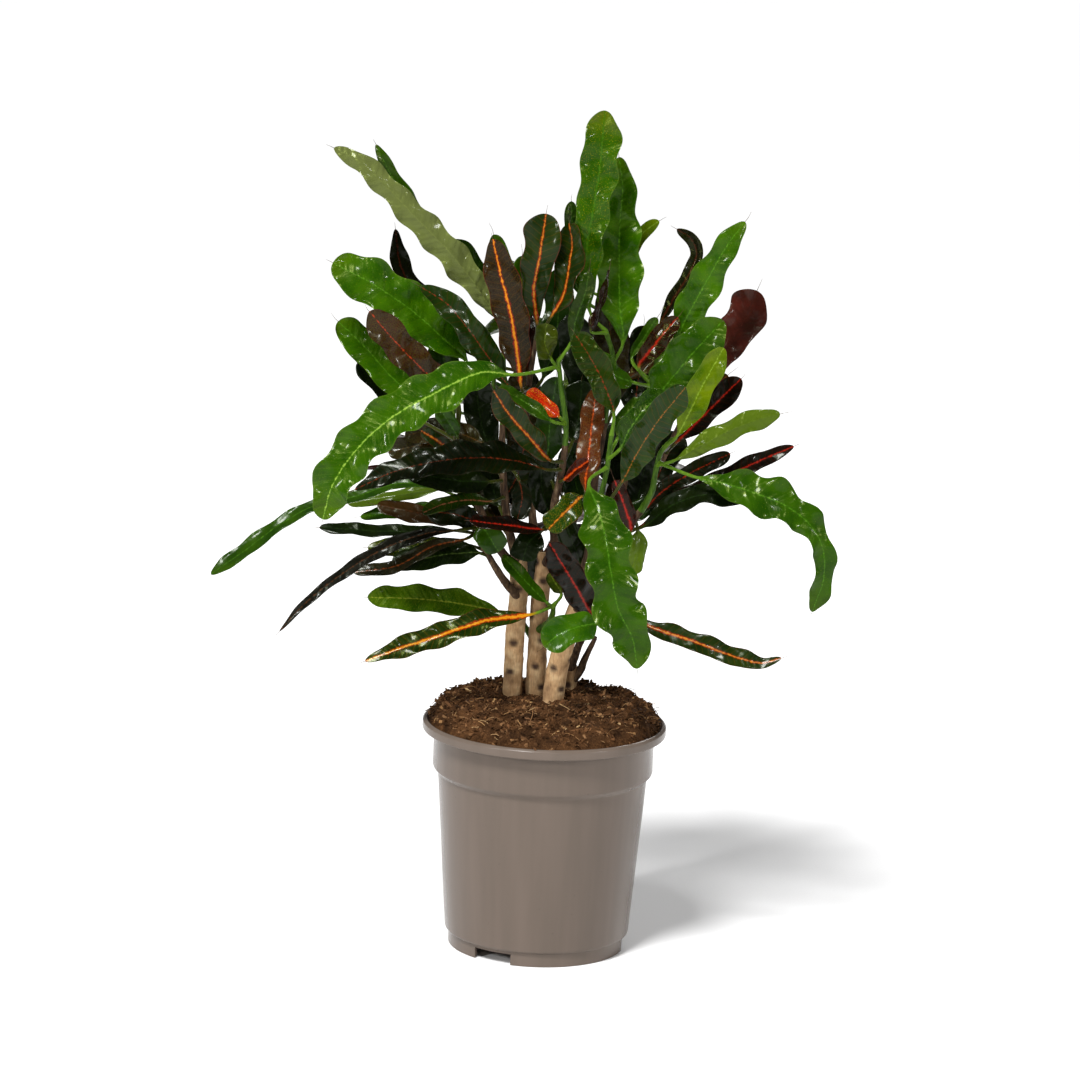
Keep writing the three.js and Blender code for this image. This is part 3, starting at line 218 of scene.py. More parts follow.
# The openings in the foot ring and the drain holes are cut by plain blocks and round bars.
cutters = []
for centre in NOTCH_CENTRES:
    deselect()
    bpy.ops.mesh.primitive_cube_add(size=1, location=AXIS)
    cutter = bpy.context.object
    edit_all()
    bpy.ops.transform.resize(value=[side * MM for side in NOTCH_BLOCK], center_override=AXIS)
    bpy.ops.transform.translate(value=(NOTCH_RADIUS * MM, 0, (NOTCH_TOP - NOTCH_BLOCK[2] / 2) * MM))
    end_edit()
    cutter.data.transform(Matrix.Rotation(centre, 4, "Z"))
    cutters.append(cutter)
for i in range(DRAINS):
    angle = math.pi * i * 2 / DRAINS
    place = Vector((math.cos(angle), math.sin(angle), 0)) * DRAIN_CIRCLE * MM
    deselect()
    bpy.ops.mesh.primitive_cylinder_add(vertices=32, radius=DRAIN_RADIUS * MM, depth=DRAIN_DEPTH * MM,
                                        location=AXIS + place + Vector((0, 0, POT_BASE * MM)))
    cutters.append(bpy.context.object)
for cutter in cutters:
    deselect()
    pot.select_set(True)
    bpy.context.view_layer.objects.active = pot
    cut = pot.modifiers.new("opening", "BOOLEAN")
    cut.operation = "DIFFERENCE"
    cut.object = cutter
    bpy.ops.object.modifier_apply(modifier=cut.name)
    bpy.data.objects.remove(cutter)

# Gloss polypropylene: the polished mould leaves it smooth, so soft boxes mirror in it with soft
# edges. Flow from the gate in the base leaves faint upright streaks, the mould's skin waves a
# little, and handling leaves fine soil specks and faintly rubbed patches.
STREAK, SPECK, RUB, RIPPLE = 14.3, 2.38, 41.7, 62.5  # how wide each of them is
plastic, tree, shader = new_material("gloss_polypropylene", IOR=1.5, Roughness=0.2,
                                     Specular_IOR_Level=0.24)
place = add_node(tree, "TexCoord", out="Object")
drawn_up = add_node(tree, "Mapping", {"Vector": place, "Scale": (1, 1, 0.05)})
flow = add_node(tree, "TexNoise", {"Vector": drawn_up, "Scale": 1 / (STREAK * MM), "Detail": 2})
dust = add_node(tree, "TexNoise", {"Vector": place, "Scale": 1 / (SPECK * MM), "Detail": 2})
rub = add_node(tree, "TexNoise", {"Vector": place, "Scale": 1 / (RUB * MM), "Detail": 6})
tone = add_node(tree, "ValToRGB", {"Fac": flow}, stops=[(0.3, "#5f544b"), (0.7, "#655950")])
specks = add_node(tree, "ValToRGB", {"Fac": dust}, stops=[(0.74, 0.0), (0.79, 0.7)])
color = add_node(tree, "MixRGB", {"Fac": specks, "Color1": tone, "Color2": linear("#4c4139")})
tree.links.new(color, shader.inputs["Base Color"])
gloss = add_node(tree, "MapRange", {"Value": rub, "From Min": 0.2, "From Max": 0.8, "To Min": 0.2,
                                    "To Max": 0.27})
tree.links.new(gloss, shader.inputs["Roughness"])
ripple = add_node(tree, "TexNoise", {"Vector": place, "Scale": 1 / (RIPPLE * MM), "Detail": 1})
bump = add_node(tree, "Bump", {"Height": ripple, "Strength": 0.12, "Distance": 2 * MM})
tree.links.new(bump, shader.inputs["Normal"])

finish(pot, plastic, angle=30)
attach(pot, "root")
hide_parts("pot")

# --- the compost -----------------------------------------------------------------------------------
# Peat and bark compost, loose and moist, filled level with the rim and heaped round the trunks. It
# lies in the pot by its own weight. Chips of pale wood and fine fibres lie in its crumbs.

COMPOST_EDGE = 198.0
COMPOST_RADIUS = 100.6
COMPOST_FOOT = (76.5, 12.6)  # radius and height
COMPOST_PROFILE = [COMPOST_FOOT, (87.6, 152.5), (92.6, 158), (92.6, 187), (COMPOST_RADIUS, COMPOST_EDGE)]
HEAP_RISE = 19.0
HEAP_BANK = 7.0  # how far in from the edge the heap has mostly risen
HEAP_LUMPS = [(21, 3.1, 4.6), (9, 7.7, 3.6), (3.4, 1.3, 1.9)]  # how wide, their seed, and how high
LEVEL_EDGE = 6  # how far in from the edge the lumps are at their full height
HEAP_RINGS = 44
HEAP_SIDES = 176
TRUNK_FEET = [(-29, 18, 10), (-9, 27, 11), (6, 4, 11), (21, 50, 8)]  # across, back, radius with room


def heap_height(x, y):
    """The height of the compost at a place measured from the pot's axis."""
    inward = max(0.0, COMPOST_RADIUS - math.hypot(x, y))
    rise = HEAP_RISE * (1 - math.exp(-inward / HEAP_BANK))
    lumps = sum(high * noise.noise((x / wide, y / wide, seed)) for wide, seed, high in HEAP_LUMPS)
    return COMPOST_EDGE + rise + lumps * min(1.0, inward / LEVEL_EDGE)


foot_radius, foot_height = COMPOST_FOOT
for i in range(1, HEAP_RINGS):
    COMPOST_PROFILE.append((COMPOST_RADIUS * (1 - i / HEAP_RINGS), COMPOST_EDGE + 1))
deselect()
bpy.ops.mesh.primitive_circle_add(vertices=HEAP_SIDES, radius=foot_radius * MM, fill_type="NGON",
                                  location=AXIS + Vector((0, 0, foot_height * MM)))
compost = bpy.context.object
compost.name = "compost_heap"
edit_all()
raise_rings(COMPOST_PROFILE, bpy.ops.mesh.extrude_region_move)
bpy.ops.mesh.select_all(action="SELECT")
bpy.ops.mesh.normals_make_consistent(inside=False)
end_edit()
for corner in compost.data.vertices:
    if corner.co.z > (COMPOST_EDGE + 0.5 - foot_height) * MM:
        corner.co.z = (heap_height(corner.co.x / MM, corner.co.y / MM) - foot_height) * MM


def draws(seed):
    """A plain seeded generator of numbers from 0 to 1."""
    state = seed * 7919 + 1
    while True:
        state = (state * 16807) % 2147483647
        yield state / 2147483647


def between(low, high, random):
    return low + (high - low) * next(random)


def scattered(template, count, spread, sink, sizes, lie):
    """Copies of the template, each with its own mesh, strewn over the heap as loose objects."""
    made = []
    while len(made) < count:
        radius = spread * math.sqrt(next(soil_random))
        angle = 2 * math.pi * next(soil_random)
        x, y = radius * math.cos(angle), radius * math.sin(angle)
        size = between(*sizes, soil_random)
        turn = Matrix.Rotation(2 * math.pi * next(soil_random), 4, "Z")
        tip = Matrix.Rotation(between(-lie, lie, soil_random), 4, "X")
        roll = Matrix.Rotation(between(-lie, lie, soil_random), 4, "Y")
        if any(math.hypot(x - across, y - back) < room for across, back, room in TRUNK_FEET):
            continue
        place = AXIS + Vector((x, y, heap_height(x, y) - sink * size)) * MM
        one = template.copy()
        one.data = template.data.copy()
        one.data.transform(Matrix.Translation(place) @ turn @ tip @ roll @ Matrix.Scale(size, 4))
        bpy.context.collection.objects.link(one)
        made.append(one)
    return made


def join(pieces, name):
    deselect()
    for one in pieces:
        one.select_set(True)
    bpy.context.view_layer.objects.active = pieces[0]
    bpy.ops.object.join()
    pieces[0].name = name
    return pieces[0]


def slip(sides, cuts, ragged, seed):
    """A frayed or splintered slip of its length, width and thickness."""
    deselect()
    bpy.ops.mesh.primitive_cube_add(size=1 * MM)
    edit_all()
    bpy.ops.transform.resize(value=sides)
    bpy.ops.mesh.subdivide(number_cuts=cuts)
    bpy.ops.transform.vertex_random(offset=ragged * MM, uniform=0.4, seed=seed)
    end_edit()
    return bpy.context.object


# A crumb of peat is 2 to 6 mm long. A shred of it is 3 to 9 mm long and stands at any slant, and a
# chip of wood or bark is a thin slip from 2 to 9 mm long.
soil_random = draws(5)
deselect()
bpy.ops.mesh.primitive_ico_sphere_add(subdivisions=1, radius=1 * MM)
crumb = bpy.context.object
edit_all()
bpy.ops.transform.vertex_random(offset=0.5 * MM, uniform=0.6, seed=3)
bpy.ops.transform.resize(value=(1.2, 0.9, 0.7))
end_edit()
crumbs = scattered(crumb, count=1300, spread=99.5, sink=0.1, sizes=(0.8, 2.6), lie=3.0)
shred = slip((4.2, 0.9, 0.5), cuts=1, ragged=0.45, seed=12)
shreds = scattered(shred, count=1500, spread=100, sink=0.0, sizes=(0.6, 2.2), lie=0.9)
chip = slip((4.6, 1.5, 0.45), cuts=2, ragged=0.3, seed=8)
chips = scattered(chip, count=240, spread=98, sink=0.0, sizes=(0.5, 1.9), lie=0.6)

# A fibre: a bowed thread of coconut or root, 5 to 15 mm long and under a millimetre thick.
FIBRE_LENGTH, FIBRE_RADIUS = 9, 0.22
FIBRE_BOW, FIBRE_CURL = 1.2, 0.7  # how high its middle stands, and how far its ends bend aside
deselect()
bpy.ops.mesh.primitive_cylinder_add(vertices=5, radius=FIBRE_RADIUS * MM, depth=FIBRE_LENGTH * MM,
                                    rotation=(0, math.pi / 2, 0))
fibre = bpy.context.object
bpy.ops.object.transform_apply(rotation=True)
edit_all()
for cut_at in (-2.2, 0, 2.2):
    bpy.ops.mesh.select_all(action="SELECT")
    bpy.ops.mesh.bisect(plane_co=(cut_at * MM, 0, 0), plane_no=(1, 0, 0))
end_edit()
for corner in fibre.data.vertices:
    outward = (corner.co.x / (FIBRE_LENGTH / 2 * MM)) ** 2
    corner.co.z += FIBRE_BOW * MM * (1 - outward)
    corner.co.y += FIBRE_CURL * MM * outward
fibres = scattered(fibre, count=150, spread=98, sink=0.3, sizes=(0.7, 1.7), lie=0.6)
hairs = scattered(fibre, count=420, spread=99, sink=0.4, sizes=(0.5, 1.5), lie=0.9)

# Moist peat and bark: crumbs are dark brown and rough, drier ones are paler, and each loose bit has
# a tone of its own. Real grains are finer than the render shows, so they are drawn 1.4 mm wide.
GRAIN, CLOD, WOOD_GRAIN = 1.43, 16.7, 1.11
peat, tree, shader = new_material("moist_peat_compost", Roughness=0.9, IOR=1.4, Specular_IOR_Level=0.1)
place = add_node(tree, "TexCoord", out="Object")
island = add_node(tree, "NewGeometry", out="Random Per Island")
grain = add_node(tree, "TexNoise", {"Vector": place, "Scale": 1 / (GRAIN * MM), "Detail": 6,
                                    "Roughness": 0.7})
clod = add_node(tree, "TexNoise", {"Vector": place, "Scale": 1 / (CLOD * MM), "Detail": 5})
fine = add_node(tree, "ValToRGB", {"Fac": grain},
                stops=[(0.3, "#1a0f08"), (0.5, "#4a301b"), (0.72, "#7d5838")])
single = add_node(tree, "ValToRGB", {"Fac": island},
                  stops=[(0.0, "#201409"), (0.5, "#4f341d"), (0.8, "#80593a"), (1.0, "#a88058")])
blend = add_node(tree, "MixRGB", {"Fac": 0.5, "Color1": fine, "Color2": single})
dark = add_node(tree, "MapRange", {"Value": clod, "From Min": 0.35, "From Max": 0.65, "To Min": 0.42,
                                   "To Max": 1.3})
shaded = add_node(tree, "MixRGB", {"Fac": 1.0, "Color1": blend, "Color2": dark}, blend_type="MULTIPLY")
tree.links.new(shaded, shader.inputs["Base Color"])
bump = add_node(tree, "Bump", {"Height": grain, "Strength": 0.9, "Distance": 1.2 * MM})
tree.links.new(bump, shader.inputs["Normal"])

# Split wood and coconut fibre: dry, pale tan to brown, each bit of one tone with fine grain.
splint, tree, shader = new_material("split_wood_chip", Roughness=0.8, IOR=1.45, Specular_IOR_Level=0.2)
place = add_node(tree, "TexCoord", out="Object")
island = add_node(tree, "NewGeometry", out="Random Per Island")
grain = add_node(tree, "TexNoise", {"Vector": place, "Scale": 1 / (WOOD_GRAIN * MM), "Detail": 4})
tint = add_node(tree, "ValToRGB", {"Fac": island},
                stops=[(0.0, "#3c2617"), (0.45, "#6f4d30"), (0.8, "#a27a4d"), (1.0, "#c9a877")])
streak = add_node(tree, "MapRange", {"Value": grain, "To Min": 0.6, "To Max": 1.2})
wood = add_node(tree, "MixRGB", {"Fac": 1.0, "Color1": tint, "Color2": streak}, blend_type="MULTIPLY")
tree.links.new(wood, shader.inputs["Base Color"])

for one in (crumb, shred, chip, fibre):
    bpy.data.objects.remove(one)
for one in [compost] + crumbs + shreds + hairs:
    one.data.materials.append(peat)
for one in chips + fibres:
    one.data.materials.append(splint)
compost = finish(join([compost] + crumbs + shreds + hairs, "compost_heap"), peat, angle=50)
litter = finish(join(chips + fibres, "wood_chips_and_fibres"), splint, angle=30)
for piece in (compost, litter):
    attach(piece, "root")
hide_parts("compost")

# --- the trunks ------------------------------------------------------------------------------------
# Four woody trunks, as thick as a finger, rooted in the compost. Where old leaves fell they keep
# dark oval scars that lie across the stem. A trunk is a sleeve of quads bent along its axis.

TRUNKS = {  # points on the axis [x, y, z] from the pot's axis, and the radius at each share of it
    "trunk_left": ([(-29, 18, 110), (-29, 18, 212), (-28.5, 18, 270), (-27, 17, 318), (-29, 16, 340)],
                   [8, 8.9, 8.6, 8]),
    "trunk_middle": ([(-8, 27, 110), (-9, 27, 212), (-8.5, 26, 276), (-8, 25, 304), (-4, 26, 342)],
                     [8, 9.6, 9.2, 8.2, 7.4]),
    "trunk_right": ([(5, 4, 110), (6, 4, 212), (10.5, 3, 252), (17.5, 0, 278), (34, -4, 333),
                     (39, -5, 348)], [8, 10, 9.6, 8.4, 7.4]),
    "trunk_back": ([(21, 50, 110), (21, 50, 212), (21.5, 49, 237)], [5.6, 6.2, 5.6]),
}
CURVE_STEPS = 12
TRUNK_COLUMNS, TRUNK_ROWS = 40, 110
SCAR_COUNT = 15
SCAR_HALF = (3.7, 2.8)  # half its width round the stem and half its height
SCAR_STRETCH = (0.38, 0.98)  # the share of the trunk that bears scars
SCAR_TURN = 2.4  # from one scar round the stem to the next, in radians
SCAR_SUNK = 0.5
NODE_SWELL = 0.55  # how far the stem swells under a scar
NODE_DROP = 2.2
NODE_HALF = (6, 3.2)
BARK_LUMP = 0.45
BARK_LUMP_SIZE = (5, 9)  # round the stem and up it
SIDEWAYS = (0.3, -1, 0)  # a way along which no stem runs


def add(a, b, k=1.0):
    return (a[0] + b[0] * k, a[1] + b[1] * k, a[2] + b[2] * k)


def dot(a, b):
    return a[0] * b[0] + a[1] * b[1] + a[2] * b[2]


def cross(a, b):
    return (a[1] * b[2] - a[2] * b[1], a[2] * b[0] - a[0] * b[2], a[0] * b[1] - a[1] * b[0])


def size_of(a):
    return math.sqrt(dot(a, a))


def scaled(a, k):
    return (a[0] * k, a[1] * k, a[2] * k)


def unit(a):
    return scaled(a, 1 / size_of(a))


def mix(a, b, t):
    return a + (b - a) * t


class Curve:
    """A smooth curve through points, as a dense run of points with the length so far at each."""

    def __init__(self, points):
        knots = [0.0]
        for before, after in zip(points, points[1:]):
            knots.append(knots[-1] + size_of(add(after, before, -1)))
        last = len(points) - 1
        steps = [scaled(add(points[i + 1], points[i], -1), 1 / (knots[i + 1] - knots[i]))
                 for i in range(last)]
        slopes = [steps[0]]
        for i in range(1, last):
            share = (knots[i + 1] - knots[i]) / (knots[i + 1] - knots[i - 1])
            slopes.append(add(scaled(steps[i - 1], share), steps[i], 1 - share))
        slopes.append(steps[-1])
        self.points = [points[0]]
        self.lengths = [0.0]
        self.first_mark = None  # the length at the second of the given points
        for i in range(last):
            span = knots[i + 1] - knots[i]
            for k in range(1, CURVE_STEPS + 1):
                t = k / CURVE_STEPS
                ahead = 3 * t ** 2 - 2 * t ** 3
                point = scaled(points[i], 1 - ahead)
                point = add(point, slopes[i], (t ** 3 - 2 * t ** 2 + t) * span)
                point = add(point, points[i + 1], ahead)
                point = add(point, slopes[i + 1], (t ** 3 - t ** 2) * span)
                self.lengths.append(self.lengths[-1] + size_of(add(point, self.points[-1], -1)))
                self.points.append(point)
            if i == 0:
                self.first_mark = self.lengths[-1]
        self.length = self.lengths[-1]

    def along(self, length):
        """The point and the direction at a length from the start."""
        at = min(self.length, max(0.0, length))
        i = 1
        while i < len(self.points) - 1 and self.lengths[i] < at:
            i += 1
        gap = self.lengths[i] - self.lengths[i - 1]
        t = (at - self.lengths[i - 1]) / gap if gap > 0 else 0
        start = self.points[i - 1]
        ahead = self.points[min(len(self.points) - 1, i + 1)]
        back = self.points[max(0, i - 2)]
        return add(start, add(self.points[i], start, -1), t), unit(add(ahead, back, -1))


def spread(values, share):
    """A value from a list of values spread evenly from 0 to 1, or the one value there is."""
    if not isinstance(values, (list, tuple)):
        return values
    place = min(1.0, max(0.0, share)) * (len(values) - 1)
    i = min(len(values) - 2, int(place))
    t = place - i
    return mix(values[i], values[i + 1], t * t * (3 - 2 * t))


def make_sleeve(columns, rows):
    """A unit tube of quads, closed at both ends, with the angle and the share of each corner."""
    deselect()
    bpy.ops.mesh.primitive_cylinder_add(vertices=columns, radius=1, depth=1)
    made = bpy.context.object
    bpy.ops.object.mode_set(mode="EDIT")
    bpy.ops.mesh.select_mode(type="EDGE")
    bpy.ops.mesh.select_all(action="DESELECT")
    end_edit()
    for edge in made.data.edges:
        low, high = [made.data.vertices[i].co.z for i in edge.vertices]
        edge.select = abs(high - low) > 0.5
    bpy.ops.object.mode_set(mode="EDIT")
    bpy.ops.mesh.subdivide(number_cuts=rows - 1)
    bpy.ops.mesh.select_mode(type="VERT")
    end_edit()
    places = np.empty(len(made.data.vertices) * 3)
    made.data.vertices.foreach_get("co", places)
    places = places.reshape(-1, 3)
    return made, np.arctan2(places[:, 1], places[:, 0]), places[:, 2] + 0.5


def shaped(template, name, places, floats=None, colors=None):
    """A copy of a template with its own mesh, its corners put at places and its attributes set."""
    made = template.copy()
    made.name = name
    made.data = template.data.copy()
    made.data.vertices.foreach_set("co", (places * MM + np.array(AXIS)).astype(np.float32).ravel())
    for kind, field, given in (("FLOAT", "value", floats), ("FLOAT_COLOR", "color", colors)):
        for key, values in (given or {}).items():
            attribute = made.data.attributes.new(key, kind, "POINT")
            attribute.data.foreach_set(field, values.astype(np.float32).ravel())
    bpy.context.collection.objects.link(made)
    return made


def tube_places(curve, lengths, angles, radii):
    """Places round a curve, one for each length, angle and radius."""
    sampled = {}
    places = np.empty((len(lengths), 3))
    for i, (length, angle, radius) in enumerate(zip(lengths, angles, radii)):
        key = round(float(length), 6)
        if key not in sampled:
            point, direction = curve.along(float(length))
            right = unit(cross(direction, SIDEWAYS))
            sampled[key] = [np.array(v) for v in (point, right, cross(direction, right))]
        point, right, up = sampled[key]
        places[i] = point + right * (math.cos(angle) * radius) + up * (math.sin(angle) * radius)
    return places


# Young grey-brown bark, still thin and not yet split: fine upright wrinkles about a millimetre
# apart, a bloom of paler cork in patches, and dark dry scars.
WRINKLE, CORK_PATCH = 1.11, 11.1
bark, tree, shader = new_material("croton_bark", Roughness=0.85, IOR=1.45, Specular_IOR_Level=0.2)
place = add_node(tree, "TexCoord", out="Object")
stretched = add_node(tree, "Mapping", {"Vector": place, "Scale": (1, 1, 0.2)})
wrinkle = add_node(tree, "TexNoise", {"Vector": stretched, "Scale": 1 / (WRINKLE * MM), "Detail": 6})
patch = add_node(tree, "TexNoise", {"Vector": place, "Scale": 1 / (CORK_PATCH * MM), "Detail": 4})
scar = add_node(tree, "Attribute", out="Fac", attribute_name="scar")
base = add_node(tree, "ValToRGB", {"Fac": patch},
                stops=[(0.3, "#86684a"), (0.5, "#ac8a63"), (0.72, "#c8ab82")])
lined = add_node(tree, "MapRange", {"Value": wrinkle, "From Min": 0.3, "From Max": 0.7, "To Min": 0.72,
                                    "To Max": 1.12})
wrinkled = add_node(tree, "MixRGB", {"Fac": 1.0, "Color1": base, "Color2": lined}, blend_type="MULTIPLY")
scarred = add_node(tree, "MixRGB", {"Fac": scar, "Color1": wrinkled, "Color2": linear("#3c2c22")})
tree.links.new(scarred, shader.inputs["Base Color"])
relief = add_node(tree, "Math", {0: wrinkle, 1: patch}, operation="ADD")
bump = add_node(tree, "Bump", {"Height": relief, "Strength": 0.5, "Distance": 0.8 * MM})
tree.links.new(bump, shader.inputs["Normal"])

trunk_sleeve, trunk_angle, trunk_share = make_sleeve(TRUNK_COLUMNS, TRUNK_ROWS)
trunk_curves = {name: Curve(axis) for name, (axis, radii) in TRUNKS.items()}
scar_random = draws(31)
for name, (axis, radii) in TRUNKS.items():
    curve = trunk_curves[name]
    lengths = trunk_share * curve.length
    radius = np.array([spread(radii, share) for share in trunk_share])
    mark = np.zeros(len(radius))
    swell = np.zeros(len(radius))
    for i in range(SCAR_COUNT):
        at = mix(*SCAR_STRETCH, (i + next(scar_random)) / SCAR_COUNT) * curve.length
        around = (i * SCAR_TURN + next(scar_random)) % (2 * math.pi)
        turn = (trunk_angle - around + math.pi) % (2 * math.pi) - math.pi
        far = np.hypot(turn * radius / SCAR_HALF[0], (lengths - at) / SCAR_HALF[1])
        mark = np.maximum(mark, np.clip((1.5 - far) * 1.15, 0, 1))  # soft from its edge outwards
        below = ((lengths - at + NODE_DROP) / NODE_HALF[1]) ** 2
        swell += NODE_SWELL * np.exp(-below - (turn * radius / NODE_HALF[0]) ** 2)
    around, up = BARK_LUMP_SIZE
    rough = np.array([noise.noise((math.cos(a) * r / around, math.sin(a) * r / around, z / up))
                      for a, r, z in zip(trunk_angle, radius, lengths)])
    radius = radius * 0.97 + rough * BARK_LUMP + swell - SCAR_SUNK * mark
    places = tube_places(curve, lengths, trunk_angle, radius)
    piece = shaped(trunk_sleeve, name.replace("trunk", "bark"), places, {"scar": mark})
    finish(piece, bark, angle=60)
    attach(piece, "root")
    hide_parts(name)
bpy.data.objects.remove(trunk_sleeve)

# --- the shoots ------------------------------------------------------------------------------------
# Seventeen branches grow from the trunks: dark wood below, this year's green stem above. Their
# leaves stand on thin stalks: long leathery blades with a strong midrib, waved edges and a bristle
# at the tip. Old leaves turn dark and take on red and orange.

SHOOTS = {  # how much of the stem is woody, and the points on its axis
    "a": (0.62, [(-4, 20, 334), (2, 4, 352), (0, -6, 384), (6, -16, 424), (8, -22, 462), (2, -24, 500), (-1,
          -24, 522)]),
    "b": (0.46, [(38, -5, 342), (52, -9, 362), (70, -14, 384), (84, -20, 412), (86, -23, 430), (90, -25,
          446), (99, -27, 458)]),
    "c": (0.6, [(35, -2, 338), (33, 12, 366), (34, 18, 400), (40, 20, 450), (44, 20, 490), (46, 20, 516),
          (38, 16, 542)]),
    "d": (1, [(-6, 26, 330), (-14, 32, 352), (-20, 32, 400), (-26, 26, 450), (-24, 16, 500), (-20, 10,
          534)]),
    "e": (0.66, [(-28, 14, 334), (-36, 2, 362), (-42, 2, 396), (-46, 0, 440), (-46, -4, 484), (-48, -4,
          526)]),
    "f": (0.8, [(-28, 18, 326), (-48, 18, 350), (-64, 10, 384), (-80, -2, 424), (-88, -8, 462), (-90, -8,
          490)]),
    "g": (1, [(-26, 14, 304), (-40, 2, 322), (-52, -6, 342), (-62, -12, 360), (-66, -14, 374)]),
    "h": (0.6, [(32, -4, 326), (48, 6, 350), (58, 8, 400), (68, 8, 450), (78, 8, 492), (84, 8, 522)]),
    "k": (0.55, [(-5, 28, 336), (6, 42, 358), (16, 54, 420), (26, 60, 480), (34, 62, 530), (42, 60, 560)]),
    "n": (1, [(26, -3, 304), (42, 16, 330), (66, 32, 372), (90, 38, 420), (104, 40, 452), (112, 40, 474)]),
    "p": (0.55, [(-27, 20, 320), (-34, 38, 346), (-46, 58, 392), (-54, 72, 444), (-56, 78, 486)]),
    "q": (0.6, [(24, -2, 296), (25, -20, 318), (30, -26, 350), (36, -30, 386), (44, -34, 430), (47, -36,
          462)]),
    "r": (0.55, [(-8, 27, 312), (8, 46, 340), (26, 66, 388), (40, 80, 440), (46, 86, 482)]),
    "low_a": (0, [(-8, 22, 274), (0, 8, 284), (3, -4, 294), (4, -12, 306)]),
    "low_b": (1, [(21, 48, 233), (24, 42, 247), (29, 32, 264), (37, 18, 280), (48.6, 4.4, 290.6)]),
    "low_c": (0, [(-9, 26, 262), (-16, 34, 268), (-22, 40, 276)]),
    "low_d": (1, [(23, 49, 224), (29, 48, 232), (32.5, 46, 243), (37, 45, 254), (42, 44, 265)]),
}


def leaf(shoot, look, width, turn, path, **rest):
    """A leaf whose blade runs along a path [across, up, depth], with up as the camera sees it.

    It shows its lower face where it is under, and is seldom seen where it is behind the others. The
    path of a placed leaf has its true heights.
    """
    made = {"shoot": shoot, "look": look, "width": width, "turn": turn, "path": path, "old": False,
            "under": False, "behind": False, "placed": False, "wave": 1}
    made.update(rest)
    return made


